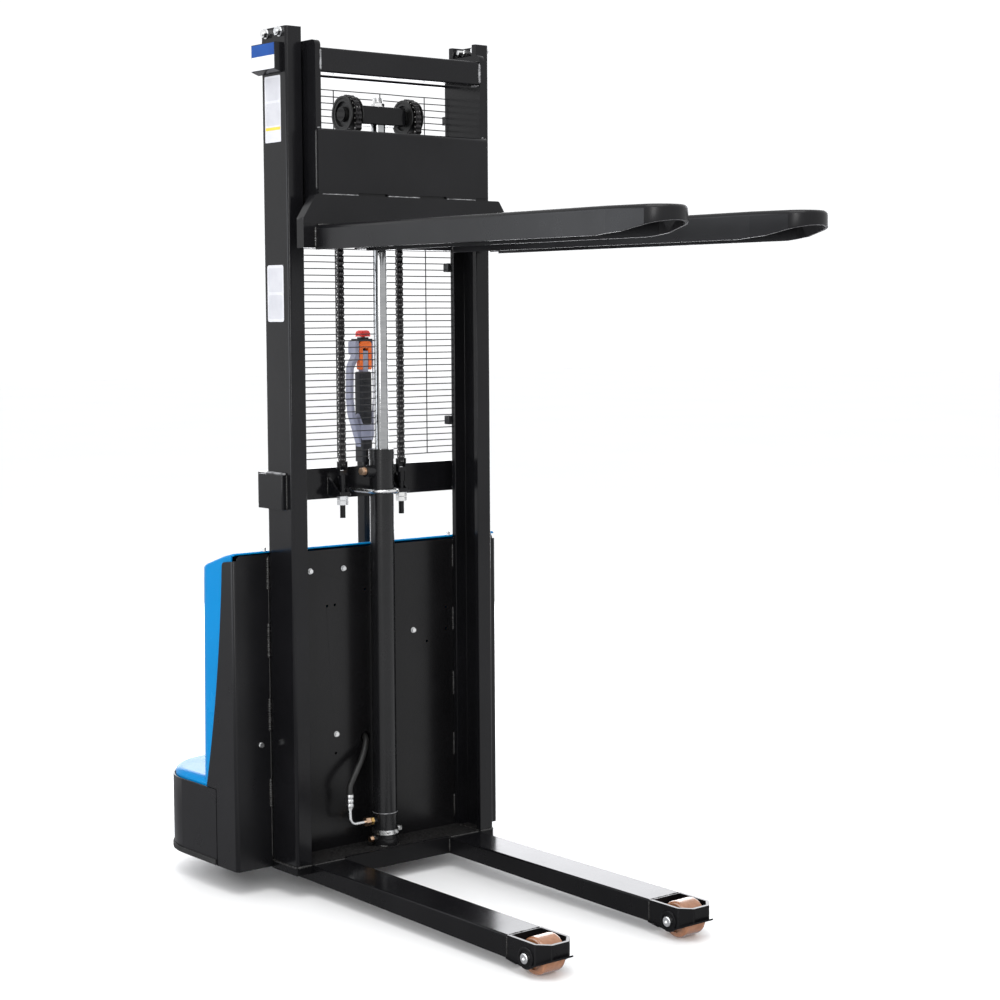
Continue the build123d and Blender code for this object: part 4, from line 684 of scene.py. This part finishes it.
# rubber edge round the foot of the drive skirt
bm = bmesh.new()
path = [(-204.0, -400.0), (-365.0, -400.0)]
for k in range(1, 13):
    a = math.radians(-90 - 90 * k / 12)
    path.append((-365 + 150 * math.cos(a), -250 + 150 * math.sin(a)))
half = path[:]
R_ = (250.0 ** 2 + 15.0 ** 2) / 30.0
for k in range(1, 12):
    y = -250 + 500 * k / 12
    path.append((-530 + R_ - math.sqrt(R_ * R_ - y * y), y))
path += [(x, -y) for x, y in half[::-1]]
rows = []
for i, (x, y) in enumerate(path):
    a, b = path[max(0, i - 1)], path[min(len(path) - 1, i + 1)]
    tx, ty = b[0] - a[0], b[1] - a[1]
    ln = math.hypot(tx, ty)
    nx, ny = ty / ln, -tx / ln
    if nx * (x + 250) + ny * y < 0:
        nx, ny = -nx, -ny
    sec = ((-1.0, 66.5), (2.2, 66.5), (3.2, 67.5), (3.2, 79.0), (2.2, 80.0), (-1.0, 80.0))
    rows.append([bm.verts.new(V(x + nx * d, y + ny * d, z)) for d, z in sec])
for a, b in zip(rows[:-1], rows[1:]):
    for k in range(6):
        bm.faces.new((a[k], a[(k + 1) % 6], b[(k + 1) % 6], b[k]))
bm.faces.new(rows[0][::-1])
bm.faces.new(rows[-1])
make("skirt_edge_strip", bm, RUBBER, "chassis", smooth=30)

# ------------------------------------------------------------------ beads in a light grey painted highlight: round the cylinder's foot, on the side plates
bm = bmesh.new()
add_lathe(bm, V(-57, 0, 163.0), (0, 0, 1), [(0, 30.6), (0.3, 31.2), (0.9, 31.5), (1.4, 31.2), (1.8, 30.6), (2.1, 29.6)], seg=72)
for sgn in (-1, 1):
    add_weld(bm, (-106, sgn * 303.0, 1025.0), (-23, sgn * 303.0, 1025.0), 4.0, seed=91 + sgn)
make("chassis_beads_painted_highlight", bm, WELD_PAINTED_HIGHLIGHT, "chassis", smooth=40)

# ------------------------------------------------------------------ body seams: near-black strips along the joins between the skirt and the side sheets, painted shade of the gap
bm = bmesh.new()
for sgn in (-1, 1):
    add_slab(bm, round_rect(-201.5, -199.3, 68.0, 253.0, 0.6), lambda u, v, t: (u, t, v), sgn * 399.4, sgn * 400.35)
    add_slab(bm, round_rect(-243.0, -199.6, 253.2, 255.0, 0.5), lambda u, v, t: (u, t, v), sgn * 399.4, sgn * 400.35)
make("skirt_seam_shade_strips", bm, SEAM_PAINTED_SHADE, "chassis", smooth=30)

# ------------------------------------------------------------------ tiller head: insert panels, chin and grip ribs
LOOP_MID = ((1128.0, 35.5), (1146.0, 40.2), (1187.0, 44.2), (1226.0, 43.4), (1262.0, 42.1), (1300.0, 42.0))   # height, middle of the loop's wall


def loop_mid(z):
    for (z0, y0), (z1, y1) in zip(LOOP_MID[:-1], LOOP_MID[1:]):
        if z <= z1:
            return y0 + (y1 - y0) * (z - z0) / (z1 - z0)
    return LOOP_MID[-1][1]


bm = bmesh.new()
add_slab(bm, round_rect(TY - 13.5, TY + 13.5, 1128, 1246, 6), lambda u, v, t: (TX + t, u, v), 15.4, 18.4, mi=0, lip=1.2)
for i in range(7):
    z = 1142 + 13.5 * i
    add_slab(bm, round_rect(TY - 10.5, TY + 10.5, z, z + 5.0, 2.4), lambda u, v, t: (TX + t, u, v), 17.6, 19.4, mi=0, lip=0.7)
add_slab(bm, round_rect(TY - 12.5, TY + 12.5, 1092, 1126, 5), lambda u, v, t: (TX + t, u, v), -15.6, -18.2, mi=0, lip=1.0)
add_slab(bm, round_rect(TY - 11.5, TY + 11.5, 1206, 1240, 4), lambda u, v, t: (TX + t, u, v), -16.0, -17.8, mi=2, lip=0.6)
for z in (1184.0, 1148.0):
    add_lathe(bm, V(TX - 16.2, TY, z), (-1, 0, 0), [(0, 12.2), (1.4, 12.2), (2.2, 11.4), (2.2, 9.6), (0.0, 9.5)], seg=32, mi=1)
for sgn in (-1, 1):
    for i in range(11):
        z = 1150 + 10 * i
        m = TY + sgn * loop_mid(z + 2)
        add_slab(bm, round_rect(TX - 12.4, TX + 12.4, m - 5.1, m + 5.1, 4.0), lambda u, v, t: (u, v, t), z, z + 4.2, mi=1)
# chin: shell round the pod's foot, fuller at front and back, its upper edge dipping there
rows = []
N_ = 48
for k in range(9):
    ring = []
    for j in range(N_):
        a = 2 * math.pi * j / N_
        cx_, sy_ = math.cos(a), math.sin(a)
        ex = 2.0 / 3.4
        px_ = math.copysign(abs(cx_) ** ex, cx_)
        py_ = math.copysign(abs(sy_) ** ex, sy_)
        top_z = 1114.0 + 30.0 * min(1.0, abs(py_)) ** 6
        gx = (0.66, 0.90, 1.06, 1.14, 1.17, 1.17, 1.15, 1.12, 1.02)[k]
        gy = (0.70, 0.90, 1.0, 1.02, 1.03, 1.035, 1.035, 1.03, 0.985)[k]
        z_ = 1060.0 + (top_z - 1060.0) * (0.0, 0.03, 0.12, 0.3, 0.55, 0.75, 0.9, 0.985, 1.0)[k]
        ring.append(bm.verts.new(V(TX + 17.0 * gx * px_, TY + 18.2 * gy * py_, z_)))
    rows.append(ring)
for a_, b_ in zip(rows[:-1], rows[1:]):
    for j in range(N_):
        f = bm.faces.new((a_[j], a_[(j + 1) % N_], b_[(j + 1) % N_], b_[j]))
        f.material_index = 1
f = bm.faces.new(rows[0][::-1])
f.material_index = 1
make("tiller_head_trim", bm, [DARK, GREY, GLASS], "tiller", smooth=40)

# ------------------------------------------------------------------ stage: floor, light, camera
bm = bmesh.new()
bmesh.ops.create_grid(bm, x_segments=1, y_segments=1, size=40.0)
floor_mat = surface("pale_floor", (0.93, 0.93, 0.93), (0.945, 0.945, 0.945), 0.6, 0.7, spec=0.2, tone_scale=0.6, rough_scale=2.0, grain=60, grain_s=0.02, grain_d=0.0005)
floor = make("floor", bm, floor_mat, None, smooth=None, ride=False)
floor.location = (0, 0, -0.0005)

floor.visible_glossy = False

# white studio, darker below the horizon where only reflections see it
world = bpy.data.worlds.new("studio")
scene.world = world
world.use_nodes = True
wt = world.node_tree
bg = wt.nodes["Background"]
wc = wt.nodes.new("ShaderNodeTexCoord")
wm = wt.nodes.new("ShaderNodeMapping")
wm.inputs["Rotation"].default_value = (0.0, math.radians(78.5), 0.0)
wm.inputs["Scale"].default_value = (0.5, 0.5, 0.5)
wm.inputs["Location"].default_value = (0.5, 0.0, 0.0)
wg = wt.nodes.new("ShaderNodeTexGradient")
wr = wt.nodes.new("ShaderNodeValToRGB")
wt.links.new(wc.outputs["Generated"], wm.inputs["Vector"])
wt.links.new(wm.outputs["Vector"], wg.inputs["Vector"])
wt.links.new(wg.outputs["Color"], wr.inputs["Fac"])
els = wr.color_ramp.elements
els[0].position, els[0].color = 0.345, (0.40, 0.40, 0.42, 1)
els[1].position, els[1].color = 0.385, (0.985, 0.99, 1.0, 1)
wt.links.new(wr.outputs["Color"], bg.inputs["Color"])
bg.inputs["Strength"].default_value = 1.08


def area(name, loc, target, size, energy, color=(1, 1, 1)):
    li = bpy.data.lights.new(name, "AREA")
    li.shape = "RECTANGLE"
    li.size, li.size_y = size
    li.energy = energy
    li.color = color
    o = bpy.data.objects.new(name, li)
    o.location = loc
    o.rotation_euler = (Vector(target) - Vector(loc)).to_track_quat("-Z", "Y").to_euler()
    scene.collection.objects.link(o)
    return o


area("key_top", (1.2, -1.0, 4.6), (0, 0, 0.9), (3.0, 3.0), 90)
area("near_camera", (3.5, -4.1, 2.3), (0, 0, 1.0), (1.2, 2.6), 95)
area("backdrop", (-3.9, 3.2, 1.7), (0, 0, 0.9), (7.0, 3.2), 220, (0.96, 0.965, 1.0))
side = area("side_panel", (-2.1, -4.65, 2.0), (0.2, 0, 1.4), (3.6, 2.8), 105, (0.90, 0.94, 1.0))
side.visible_diffuse = False

cam_data = bpy.data.cameras.new("camera")
cam = bpy.data.objects.new("camera", cam_data)
scene.collection.objects.link(cam)
scene.camera = cam
F_PX, PX, PY = 2065.9, 521.7, 485.3
YAW, PITCH_C, ROLL = math.radians(140.51), math.radians(-4.62), math.radians(-0.285)
fwd = Vector((math.cos(YAW) * math.cos(PITCH_C), math.sin(YAW) * math.cos(PITCH_C), math.sin(PITCH_C)))
right = fwd.cross(Vector((0, 0, 1))).normalized()
up = right.cross(fwd)
r2 = right * math.cos(ROLL) + up * math.sin(ROLL)
u2 = -right * math.sin(ROLL) + up * math.cos(ROLL)
cam.matrix_world = Matrix(((r2.x, u2.x, -fwd.x, 0), (r2.y, u2.y, -fwd.y, 0), (r2.z, u2.z, -fwd.z, 0), (0, 0, 0, 1)))
cam.location = V(4082.6, -2964.0, 1389.4)
cam_data.sensor_fit = "HORIZONTAL"
cam_data.sensor_width = 36.0
cam_data.lens = F_PX / 1000.0 * 36.0
cam_data.shift_x = (500.0 - PX) / 1000.0
cam_data.shift_y = (PY - 500.0) / 1000.0
cam_data.clip_start = 0.05
cam_data.clip_end = 200.0
scene.view_settings.view_transform = "Standard"
